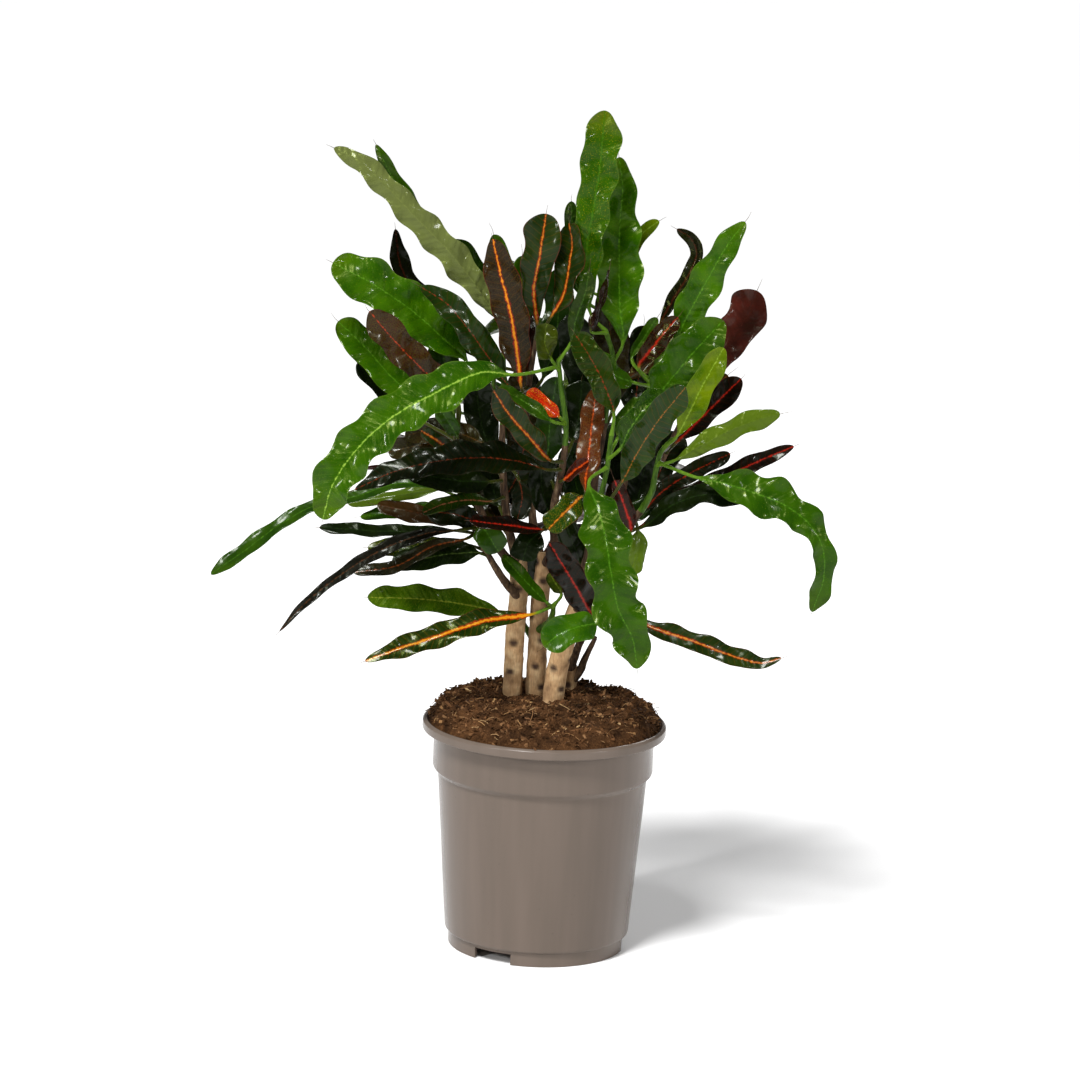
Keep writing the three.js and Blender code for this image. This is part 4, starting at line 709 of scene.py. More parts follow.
LEAVES = [  # the shoot, the look, the width from foot to tip, the tilt, and the path of the midrib
    # the big arching leaves in front
    leaf("a", "ribbed", [24, 34, 38, 38, 37, 36], 12, [(-37, 500, -62), (-65, 500, -84), (-100, 482, -100),
         (-139, 457, -110), (-170, 424, -116), (-185, 398, -118), (-192, 369, -116)], wave=1.3),
    leaf("q", "middle", [38, 42, 40, 38, 40, 33, 24], 0, [(29, 410, -60), (38, 387, -78), (46, 357, -92),
         (51, 331, -98), (58, 302, -100), (71, 277, -98), (76, 251, -94)], wave=1.6),
    leaf("b", "middle", [26, 33, 37, 28, 19, 19, 22], 15, [(118, 419, -46), (144, 414, -58), (172, 406,
         -64), (195, 397, -68), (214, 384, -70), (228, 363, -70), (231, 340, -68), (223, 306, -62)],
         wave=1.6),
    # the crown's top
    leaf("c", "spot", [20, 26, 28, 32, 34], 8, [(26, 556, 4), (20, 590, 0), (20, 618, 0), (24, 650, 0), (27,
         676, 2), (29, 706, 4), (30, 732, 6)], wave=1.2),
    leaf("c", "bright", [28, 37, 40, 36, 24, 20], -8, [(53, 530, 20), (50, 565, 22), (48, 600, 26), (47,
         640, 30), (48, 670, 32), (44, 695, 34)], wave=1.2),
    leaf("d", "dark_flare", [15, 22, 30, 34], 6, [(-20, 546, -2), (-24, 575, -8), (-20, 605, -12), (-16,
         641, -10)], old=True),
    leaf("d", "dark_flare", [14, 24, 30, 26], 38, [(-9, 552, -12), (0, 568, -18), (5, 595, -22), (7, 613,
         -22), (4, 634, -20)], old=True),
    leaf("d", "brown_orange", [16, 27, 29, 22], 4, [(-31, 490, -16), (-35, 514, -22), (-43, 555, -28), (-52,
         585, -32), (-60, 616, -34)], old=True),
    leaf("d", "maroon", 23, 10, [(-26, 502, 2), (-33, 545, -3), (-41, 575, -6), (-49, 604, -6)], old=True),
    leaf("e", "green", 18, 10, [(-38, 540, 16), (-50, 590, 18), (-60, 623, 18)]),
    leaf("e", "green", 17, 0, [(-30, 548, 6), (-34, 580, 4), (-35, 605, 4)]),
    leaf("e", "deep", 20, 10, [(-50, 546, 24), (-66, 577, 26), (-81, 601, 26), (-98, 616, 24)]),
    leaf("a", "deep", 14, 20, [(9, 530, -28), (13, 552, -32), (20, 575, -34), (22, 592, -34)]),
    leaf("a", "olive", 22, 30, [(-7, 516, -32), (-13, 530, -38), (-12, 546, -36)]),
    leaf("k", "lime", 12, 20, [(50, 592, 60), (60, 616, 62), (68, 633, 62), (81, 643, 60)]),
    leaf("k", "deep", 14, 10, [(16, 575, 46), (8, 615, 44), (5, 656, 44)]),
    leaf("c", "maroon", 16, 76, [(26, 542, 2), (33, 562, -5), (37, 578, -8), (39, 594, -8)]),
    # the upper left
    leaf("e", "under", [20, 26, 24, 19, 17], 0, [(-50, 541, -6), (-67, 569, -10), (-95, 603, -14), (-127,
         634, -16), (-154, 661, -14), (-175, 679, -10), (-197, 690, -4)], under=True, wave=1.6),
    leaf("e", "green", [12, 16, 17, 12], 10, [(-50, 549, 10), (-73, 577, 12), (-102, 610, 10), (-129, 640,
         8), (-147, 667, 6), (-162, 695, 4)]),
    leaf("f", "bright", [22, 36, 40, 40, 38], 14, [(-78, 508, -6), (-101, 532, -8), (-126, 553, -10), (-161,
         575, -12), (-195, 592, -6)]),
    leaf("f", "bright", [18, 28, 29, 28], 14, [(-105, 470, 10), (-140, 494, 14), (-165, 520, 18), (-190,
         543, 20)]),
    leaf("f", "maroon_specked", 27, 10, [(-87, 478, -20), (-113, 500, -26), (-140, 526, -30), (-160, 548,
         -30)], old=True),
    leaf("d", "dark_edge", [20, 24, 20, 13], 26, [(-66, 514, 10), (-98, 546, 14), (-124, 568, 20), (-139,
         595, 26), (-144, 625, 30)], old=True),
    leaf("d", "deep_thin", [20, 26, 24, 18], 22, [(-40, 490, -8), (-62, 518, -12), (-80, 541, -16), (-96,
         559, -16), (-119, 573, -12)], old=True),
    leaf("f", "dark", 15, 20, [(-120, 462, 22), (-150, 484, 30), (-173, 508, 34)], old=True),
    # the right
    leaf("h", "bright", [20, 28, 29, 21, 17], 6, [(95, 532, 4), (107, 558, 0), (124, 593, -6), (139, 622,
         -8), (152, 641, -8)]),
    leaf("h", "middle", [26, 38, 38, 28], 6, [(78, 480, -14), (94, 501, -24), (112, 525, -28), (137, 555,
         -28)]),
    leaf("n", "purple", [18, 24, 34, 38], 14, [(122, 494, 36), (139, 528, 40), (154, 552, 42), (167, 585,
         40)], old=True),
    leaf("h", "dark_edge", 12, 20, [(84, 548, 24), (96, 575, 30), (108, 597, 34), (114, 614, 36), (107, 629,
         36), (96, 635, 34)]),
    leaf("b", "lime", [12, 22, 22, 18], 0, [(101, 452, -30), (110, 470, -32), (120, 494, -34), (138, 531,
         -32)]),
    leaf("n", "black_red", [14, 18, 20, 20], 6, [(102, 448, 12), (115, 462, 12), (134, 483, 14), (156, 507,
         14)], old=True),
    leaf("n", "brown", 12, 10, [(118, 480, 26), (130, 496, 26), (145, 510, 26)], old=True),
    leaf("b", "pale_under", [12, 18, 18, 16], 0, [(100, 432, -36), (122, 446, -41), (150, 462, -46), (170,
         471, -48), (188, 476, -48)], under=True, wave=1.5),
    leaf("h", "maroon_red", 17, 10, [(68, 512, -2), (80, 532, -6), (99, 557, -8)]),
    leaf("h", "green", 10, 0, [(62, 520, 14), (72, 540, 16), (82, 557, 16)]),
    leaf("q", "brown_specked", 20, 6, [(27, 402, -50), (28, 430, -62), (30, 462, -68), (33, 493, -68)],
         old=True),
    leaf("q", "deep_thin", 24, 8, [(48, 470, -40), (42, 488, -44), (32, 508, -46), (12, 538, -44)]),
    leaf("h", "green", 22, 34, [(64, 499, -14), (48, 504, -26), (34, 514, -30), (21, 525, -32)]),
    leaf("c", "brown", 14, 0, [(56, 502, 4), (76, 518, -2), (97, 543, -6)], under=True),
    leaf("q", "green_edge", 20, 16, [(54, 440, -46), (62, 458, -56), (75, 477, -60), (90, 491, -60)]),
    leaf("q", "green_thin", 26, 14, [(56, 410, -40), (70, 440, -46), (84, 464, -48), (105, 493, -48)],
         old=True),
    leaf("q", "green", 15, 30, [(52, 450, -24), (58, 470, -22), (72, 484, -18)]),
    leaf("b", "dark_red", 15, 6, [(74, 384, -8), (90, 403, -6), (112, 420, -4), (149, 441, -2)], old=True),
    leaf("b", "black_red", [12, 16, 16, 12], 8, [(72, 372, 0), (106, 398, 6), (142, 418, 12), (175, 436,
         16), (204, 450, 16)], old=True),
    leaf("b", "dark", 20, 30, [(75, 373, -14), (100, 393, -20), (128, 404, -24), (164, 400, -26)],
         old=True),
    leaf("b", "maroon_red", 14, 20, [(67, 370, -26), (60, 392, -34), (51, 413, -38)], old=True),
    leaf("b", "pale_under", 17, 0, [(73, 372, -10), (73, 356, -14), (69, 332, -16)], old=True, under=True),
    # the middle
    leaf("a", "dark_thin", [20, 29, 30, 22, 14], 24, [(-6, 420, -34), (-30, 426, -46), (-60, 428, -56),
         (-100, 423, -62), (-137, 412, -62), (-168, 396, -58)], old=True),
    leaf("a", "green", 12, 20, [(-4, 462, -44), (-22, 474, -54), (-50, 489, -56)]),
    leaf("a", "dark_flare", 22, 20, [(-4, 428, -32), (-24, 448, -44), (-44, 470, -48), (-54, 485, -48)],
         old=True),
    leaf("a", "red", 13, 10, [(2, 466, -34), (-10, 476, -38), (-26, 487, -38)]),
    leaf("a", "maroon_orange", 12, 30, [(8, 412, -34), (18, 421, -46), (28, 429, -54)], old=True),
    leaf("q", "green_orange", 22, 10, [(24, 398, -44), (12, 386, -54), (-4, 368, -58)], old=True),
    leaf("a", "black_red", 16, 40, [(-8, 368, -22), (-22, 369, -34), (-45, 371, -44), (-70, 373, -50)],
         old=True),
    leaf("e", "dark_thin", 16, 0, [(-30, 410, -22), (-27, 396, -28), (-30, 376, -32)], old=True),
    leaf("a", "dark", 24, 6, [(-10, 366, -18), (-20, 356, -26), (-24, 340, -28)], old=True),
    # the left, low whorl
    leaf("f", "green", [10, 15, 15, 14, 15, 18, 21], 40, [(-84, 395, 12), (-104, 402, 14), (-129, 404, 16),
         (-172, 390, 12), (-207, 380, 8), (-238, 360, 2), (-263, 339, -4), (-291, 317, -10)], old=True,
         wave=0.6),
    leaf("g", "slate", [12, 13, 11, 8, 5], 10, [(-78, 365, -20), (-105, 361, -32), (-142, 346, -42), (-179,
         321, -46), (-211, 292, -48), (-229, 270, -48)], old=True),
    leaf("g", "dark", 14, 40, [(-80, 364, -6), (-110, 362, -10), (-156, 361, -14), (-199, 362, -16)],
         old=True),
    leaf("g", "brown", 18, 30, [(-78, 372, 0), (-114, 378, -4), (-151, 384, -8)], old=True, under=True),
    leaf("g", "dark_pale", 24, 30, [(-60, 345, -12), (-82, 344, -16), (-108, 339, -18), (-136, 333, -18)],
         old=True),
    leaf("g", "green_spots", 18, 30, [(-74, 352, 6), (-110, 347, 8), (-158, 346, 10)], old=True),
    leaf("g", "grey_orange", 12, 20, [(-72, 358, -24), (-100, 350, -32), (-132, 331, -36), (-168, 324,
         -38)], old=True),
    leaf("f", "bright", 14, 40, [(-86, 384, 26), (-130, 379, 34), (-166, 373, 36)], old=True),
    leaf("f", "pale_under", 11, 20, [(-96, 400, 34), (-135, 393, 40), (-177, 384, 44)], old=True,
         under=True),
    leaf("e", "green_pink", 14, 30, [(-52, 391, -22), (-74, 391, -32), (-92, 387, -38), (-111, 378, -40)],
         old=True),
    leaf("g", "green", 22, 0, [(-62, 372, -26), (-55, 362, -32), (-45, 347, -32)], old=True),
    leaf("e", "dark", 24, 20, [(-54, 408, -10), (-88, 408, -20), (-126, 415, -24)], old=True),
    leaf("f", "maroon_red", 14, 78, [(-94, 420, -20), (-125, 417, -26), (-166, 414, -30)], old=True),
    leaf("f", "green", 14, 10, [(-84, 446, -20), (-92, 458, -26), (-100, 470, -28)], old=True),
    leaf("e", "maroon_olive", 20, 10, [(-58, 440, -22), (-78, 448, -32), (-102, 452, -40), (-130, 446,
         -44)], old=True),
    leaf("f", "dark_flare", 13, 10, [(-88, 432, -24), (-100, 441, -36), (-114, 449, -42)], old=True),
    # the low leaves round the trunks
    leaf("low_a", "dark_flame", [14, 22, 22, 12], 24, [(-10, 295, -20), (-55, 286, -32), (-89, 273, -40),
         (-124, 260, -46), (-155, 247, -50)]),
    leaf("low_c", "green_yellow", [18, 24, 24, 21], 20, [(-38, 291, 40), (-62, 297, 36), (-107, 302, 26),
         (-157, 302, 16)]),
    leaf("low_b", "dark_flare", [10, 17, 18, 10], 20, [(62, 295, -8), (92, 285, -22), (129, 274, -30), (162,
         263, -34), (184, 259, -36), (200, 264, -36)], old=True),
    leaf("low_b", "black_red", 24, 0, [(38, 295, -8), (21, 321, -24), (-2, 356, -36)], old=True),
    leaf("low_b", "bright", 27, 10, [(42, 288, -30), (24, 284, -46), (8, 276, -52), (-3, 266, -54)],
         old=True),
    leaf("low_a", "green", 13, 20, [(-2, 304, -20), (-20, 321, -28), (-42, 344, -32)]),
    leaf("low_a", "olive", 12, 20, [(10, 312, -18), (4, 322, -22), (-1, 331, -22)]),
]
BEHIND = [  # dark leaves that show between the others: the shoot, the look, the width and the path
    ("d", "deep", 26, [(-14, 500, 34), (-5, 530, 38), (-2, 565, 40), (-4, 598, 40)]),
    ("c", "dark", 30, [(30, 474, 36), (22, 500, 44), (14, 528, 50), (8, 558, 52)]),
    ("c", "maroon_olive", 30, [(47, 474, 40), (47, 505, 48), (43, 540, 52), (40, 582, 52)]),
    ("h", "dark_thin", 27, [(66, 466, 24), (68, 494, 30), (71, 524, 32), (72, 552, 32)]),
    ("a", "dark", 26, [(14, 446, 4), (19, 470, 8), (20, 500, 8)]),
    ("a", "deep", 24, [(-6, 422, 4), (-6, 450, 8), (-2, 502, 8)]),
    ("e", "dark", 26, [(-52, 426, 20), (-61, 448, 26), (-68, 476, 30), (-70, 500, 30)]),
    ("d", "maroon_olive", 28, [(-28, 424, 44), (-30, 460, 50), (-28, 510, 52)]),
    ("n", "dark_thin", 24, [(86, 412, 50), (95, 434, 56), (108, 458, 58)]),
    ("b", "dark", 26, [(70, 388, 10), (75, 412, 16), (78, 440, 18)]),
    ("f", "deep", 26, [(-84, 474, 24), (-94, 500, 30), (-104, 530, 32)]),
    ("e", "dark", 20, [(-46, 386, 20), (-53, 404, 24), (-58, 428, 26)]),
    ("f", "maroon_olive", 20, [(-86, 436, 16), (-108, 439, 22), (-144, 431, 24)]),
    ("e", "dark_thin", 24, [(-42, 392, 22), (-33, 412, 28), (-26, 444, 28)]),
    ("a", "dark", 24, [(-2, 378, 14), (-9, 398, 18), (-12, 432, 18)]),
    ("c", "deep", 26, [(28, 386, 30), (19, 408, 38), (14, 446, 40)]),
    ("h", "dark", 26, [(55, 404, 22), (50, 428, 28), (44, 462, 30)]),
    ("e", "maroon_olive", 22, [(-44, 370, 14), (-54, 384, 20), (-70, 402, 22)]),
    ("g", "dark_thin", 20, [(-60, 368, 8), (-78, 377, 12), (-108, 380, 14)]),
    ("q", "dark", 20, [(25, 338, -4), (20, 352, 2), (10, 376, 6)]),
    ("b", "deep", 18, [(64, 378, 0), (78, 391, 6), (98, 402, 8)]),
    ("d", "dark", 20, [(-14, 350, 44), (-18, 334, 52), (-24, 308, 54)]),
]
HIDDEN = [  # the shoot, how many hidden leaves it has, between which headings, and the share of old
    ("a", 6, 20, 150, 1), ("c", 5, 10, 170, 1), ("q", 3, 20, 160, 1), ("d", 3, 30, 150, 1),
    ("e", 3, 30, 150, 1), ("h", 3, 60, 170, 1), ("f", 2, 30, 150, 1), ("n", 3, 20, 110, 1),
    ("k", 8, 10, 170, 0.3), ("p", 7, 50, 210, 0.45), ("r", 7, -20, 140, 0.45),
]
STEM_RADII = (4.4, 2.1)
STALK_RADIUS = 1.5
STALK_BACK = 14  # how far behind its blade a stalk wants to leave the stem
ROOT_TRIES = 40
BARE_FOOT = 24  # the length of a shoot that bears no leaves
GROWTH_GAP = 9  # how far old and young leaves keep from where the stem changes
BLADE_STEP = 20
WAVE_LENGTH = 34
WAVE_RISE = 0.16  # how far an edge is lifted and waves, as a share of the half width
SCALLOP = 0.09
FULL_FROM = 0.34  # the share of the blade at which it has its full width
TIP_FROM, TIP_SHARE = 0.8, 0.2
STEADY = 0.35  # how much a blade's turn keeps to the turn just before it
STEM_SAMPLE_STEP = 5
TRUNK_SAMPLES = 10  # round a trunk
CLEARANCE = 6
OWN_CLEARANCE = 3.4  # near their roots, leaves of one shoot may come this near
OWN_REACH = 26
SAMPLE_STEP = 7
SWING_STEP = 9
SWINGS, FEW_SWINGS = 26, 9
LEAF_SEED = 20
TOWARD_VIEWER = (0, -math.cos(VIEW_ANGLE), math.sin(VIEW_ANGLE))

for shoot, look, width, path in BEHIND:
    LEAVES.append(leaf(shoot, look, width, 10, path, old=True, behind=True))
shoot_curves = {name: Curve(axis) for name, (split, axis) in SHOOTS.items()}


def stem_stretch(name, old):
    """The stretch of a shoot's stem on which its old or its young leaves stand."""
    split, length = SHOOTS[name][0], shoot_curves[name].length
    foot, end, change = min(BARE_FOOT, length * 0.3), length - STEM_RADII[1], length * split
    if old:
        return foot, end if split == 1 else change - GROWTH_GAP
    return (change + GROWTH_GAP if split else foot), end


def stalk_root(name, old, foot, ahead):
    """Where on the stem a leaf's stalk leaves it: nearest to a point a little behind the blade."""
    low, high = stem_stretch(name, old)
    aim = add(foot, unit(add(foot, ahead, -1)), STALK_BACK)
    best, nearest = None, math.inf
    for i in range(ROOT_TRIES + 1):
        point, _ = shoot_curves[name].along(mix(low, high, i / ROOT_TRIES))
        distance = size_of(add(point, aim, -1))
        if distance < nearest - 1e-9:
            best, nearest = point, distance
    return best


def midrib(one, swing):
    """The curve of stalk and midrib with its tip swung in depth, and where the blade starts."""
    count = len(one["path"]) - 1
    points = []
    for i, (across, up, depth) in enumerate(one["path"]):
        y = depth + swing * mix(0.25, 1, i / count)
        points.append((across, y, up if one["placed"] else up - math.tan(VIEW_ANGLE) * y))
    curve = Curve([stalk_root(one["shoot"], one["old"], points[0], points[1])] + points)
    return curve, curve.first_mark


def wave_at(one, share, side, blade, times=1):
    """Where in its waves an edge is. The leaf's phase counts this many times."""
    return math.sin(share * blade * 2 * math.pi / WAVE_LENGTH + one["phase"] * times + side)


def half_width(one, share, side, blade):
    """From the midrib to one edge: it widens from the stalk, narrows to the tip and is scalloped."""
    taper = math.sin(share / FULL_FROM * math.pi / 2) if share < FULL_FROM else 1
    tip = (share - TIP_FROM) / TIP_SHARE if share > TIP_FROM else 0
    scallop = 1 + SCALLOP * one["wave"] * wave_at(one, share, side, blade)
    return spread(one["width"], share) / 2 * taper * math.sqrt(max(0, 1 - tip ** 2)) * scallop


def edge_rise(one, share, side, blade, half):
    """How far an edge stands over the midrib."""
    return half * (WAVE_RISE + WAVE_RISE * one["wave"] * wave_at(one, share, side, blade, 2))


def blade_frames(one, curve, lengths):
    """At each length the midrib's point and the way across the blade."""
    hand = 1 if one["path"][-1][0] >= one["path"][0][0] else -1
    facing = (0, 0, 1) if one["placed"] else TOWARD_VIEWER
    tilt = one["roll"] if one["placed"] else hand * math.radians(one["turn"]) + math.pi * one["under"]
    before, frames = None, []
    for length in lengths:
        point, direction = curve.along(length)
        across = cross(direction, facing)
        if before:
            across = add(across, before, STEADY)
        across = unit(add(across, direction, -dot(across, direction)))
        before = across
        out = cross(across, direction)
        frames.append((point, add(scaled(across, math.cos(tilt)), out, math.sin(tilt))))
    return frames


def leaf_samples(one, swing):
    """Points all over a leaf and how far along it each lies."""
    curve, start = midrib(one, swing)
    blade = curve.length - start
    count = math.ceil(curve.length / SAMPLE_STEP)
    lengths = [curve.length * i / count for i in range(count + 1)]
    places, reaches = [], []
    for length, (point, across) in zip(lengths, blade_frames(one, curve, lengths)):
        share = (length - start) / blade
        half = half_width(one, share, 0, blade) if share > 0 else 0
        for k in (-1, -0.5, 0, 0.5, 1) if share > 0 else (0,):
            places.append(add(point, across, half * k))
            reaches.append(length)
    return np.array(places), np.array(reaches)


kept_places = np.empty((0, 3))
kept_facts = np.empty((0, 4))  # how far along its leaf, whose it is, whether old, and its margin
owners = list(TRUNKS) + list(SHOOTS)


def keep(places, reaches, owner, old, margins=0.0):
    """Keeps the places free for their owner."""
    global kept_places, kept_facts
    facts = np.zeros((len(places), 4))
    facts[:, 0], facts[:, 1], facts[:, 2], facts[:, 3] = reaches, owners.index(owner), old, margins
    kept_places = np.vstack([kept_places, places])
    kept_facts = np.vstack([kept_facts, facts])


def free_distance(places, reaches, owner, old):
    """The smallest free distance from the places to all that is kept, up to the clearance."""
    low, high = places.min(axis=0) - 2 * CLEARANCE, places.max(axis=0) + 2 * CLEARANCE
    inside = np.all((kept_places > low) & (kept_places < high), axis=1)
    others, facts = kept_places[inside], kept_facts[inside]
    if not len(others):
        return CLEARANCE
    steps = np.abs(np.floor(places / CLEARANCE)[:, None] - np.floor(others / CLEARANCE)[None])
    free = np.linalg.norm(places[:, None] - others[None], axis=2) - facts[None, :, 3]
    own = (facts[None, :, 1] == owners.index(owner)) & (facts[None, :, 0] < OWN_REACH)
    own = own & (reaches[:, None] < OWN_REACH)
    free = np.where(own, free * CLEARANCE / OWN_CLEARANCE, free)
    skipped = steps.max(axis=2) > 1
    skipped |= own & (facts[None, :, 2] == old)
    return min(CLEARANCE, np.where(skipped, math.inf, free).min())


def settle(one, swings):
    """Swings the leaf's tip in depth until the leaf is clear of all that is kept."""
    best = None
    for i in range(swings):
        swing = SWING_STEP * ((i + 1) // 2) * (1 if i % 2 else -1)
        places, reaches = leaf_samples(one, swing)
        free = free_distance(places, reaches, one["shoot"], one["old"])
        if best is None or free > best[1] + 1e-6:
            best = (swing, free, places, reaches)
        if free >= CLEARANCE - 1e-6:
            break
    return best


for name, curve in {**trunk_curves, **shoot_curves}.items():
    count = math.ceil(curve.length / STEM_SAMPLE_STEP)
    for i in range(count + 1):
        share = i / count
        point, _ = curve.along(curve.length * share)
        if name in TRUNKS:
            turns = [2 * math.pi * k / TRUNK_SAMPLES for k in range(TRUNK_SAMPLES)]
            radius = spread(TRUNKS[name][1], share)
            around = [add(point, (math.cos(a), math.sin(a), 0), radius) for a in turns]
            keep(around, 0, name, True)
        else:
            split = SHOOTS[name][0]
            keep([point], 0, name, share < split or split == 1, mix(*STEM_RADII, share))

phases = draws(LEAF_SEED + 1)
for one in LEAVES:
    one["phase"] = next(phases) * 2 * math.pi
    one["swing"], _, places, reaches = settle(one, FEW_SWINGS if one["behind"] else SWINGS)
    keep(places, reaches, one["shoot"], one["old"])

# The hidden leaves stand by rule round the backs of the shoots. Each leaves its stem at an angle
# round it, rises, and bends down to its tip. One that finds no room, reaches too far back or would
# show past the plant's outline, a round one as the camera sees it, is left out.
LENGTHS, WIDTHS = (90, 145), (17, 32)
RISES, DROOPS = (10, 62), (20, 85)  # degrees
ROLL = 0.45
PATH_STEPS = 5
HIDDEN_STALK = 18
TRIES = 6  # for each leaf
OUTLINE_MIDDLE, OUTLINE_RADIUS = (-8, 452), 150
BACK_END = 188
YOUNG_LOOKS = ["bright", "green", "bright", "green", "deep", "lime"]
OLD_LOOKS = ["dark", "dark_red", "deep", "maroon_olive", "dark_orange", "dark", "brown", "purple"]
hidden_random = draws(LEAF_SEED)
look_random = draws(LEAF_SEED + 2)
for name, count, heading_from, heading_to, old_share in HIDDEN:
    found = 0
    for _ in range(count * TRIES):
        old = next(hidden_random) < old_share
        spot, _ = shoot_curves[name].along(mix(*stem_stretch(name, old), next(hidden_random)))
        heading = math.radians(mix(heading_from, heading_to, next(hidden_random)))
        length, width = between(*LENGTHS, hidden_random), between(*WIDTHS, hidden_random)
        rise, droop = between(*RISES, hidden_random), between(*DROOPS, hidden_random)
        roll, phase = between(-ROLL, ROLL, hidden_random), next(hidden_random) * 2 * math.pi
        looks = OLD_LOOKS if old else YOUNG_LOOKS
        look = looks[int(next(look_random) * len(looks))]
        path = []
        for i in range(PATH_STEPS + 1):
            slope = math.radians(rise - droop * i / PATH_STEPS)
            stride = length / PATH_STEPS if i else HIDDEN_STALK
            outward = (math.cos(heading) * math.cos(slope), math.sin(heading) * math.cos(slope),
                       math.sin(slope))
            spot = add(spot, outward, stride)
            path.append((spot[0], spot[2], spot[1]))
        if found == count:
            continue
        one = leaf(name, look, width, 0, path, old=old, roll=roll, phase=phase, placed=True)
        one["swing"], free, places, reaches = settle(one, FEW_SWINGS)
        seen = places[:, 2] + math.tan(VIEW_ANGLE) * places[:, 1]
        from_middle = ((places[:, 0] - OUTLINE_MIDDLE[0]) / OUTLINE_RADIUS) ** 2
        from_middle += ((seen - OUTLINE_MIDDLE[1]) / OUTLINE_RADIUS) ** 2
        if free >= CLEARANCE - 1e-6 and from_middle.max() < 1 and places[:, 1].max() < BACK_END:
            keep(places, reaches, name, old)
            LEAVES.append(one)
            found += 1

# A leaf is a closed sleeve of quads: round along the stalk, then spread out flat. The upper face
# has a groove and the lower face a ridge along the midrib, and the edges are thin and waved.
LEAF_COLUMNS, LEAF_ROWS = 32, 112
STALK_ROWS = 0.07  # the share of the rows that the stalk gets
ROW_CROWDING = 1.3  # over 1, the rows lie closer together towards the tip
LAST_ROW = 0.9996  # just short of the tip, where the blade has no width
STALK_FOOT = 2.3  # its radius at the stem
RUMPLE, RUMPLE_SIZE = 2.2, (11, 13)  # how high, and how wide and long the blade's soft dents are
FRILL, FRILL_LENGTH = 0.2, 12.5
EDGE_HALF, BODY_HALF = 0.12, 0.2  # half the thickness at the edge, and what the midrib adds
GROOVE, GROOVE_WIDTH = 0.3, 0.9
RIDGE, RIDGE_WIDTH = 1.15, 1.1
MIDRIB_FADE = 0.75  # how much the groove and the ridge fade towards the tip
BRISTLE = (0.28, 0.1)  # its radius at the leaf and at its end
BRISTLE_LENGTHS = (5, 12)
BRISTLE_ROOT = 1.5  # how deep it stands in the blade
BRISTLE_BEND = 0.3
BRISTLE_COLUMNS, BRISTLE_ROWS = 5, 7
STEM_COLUMNS, STEM_ROWS = 14, 90
STEM_KNOT, STEM_KNOT_LENGTH = 0.45, 7
STEM_SLIMMER = 0.25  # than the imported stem, so that the knots stay in it
WIDEST_BAND = 4  # a band of colour of this half width is stored as an alpha of 1
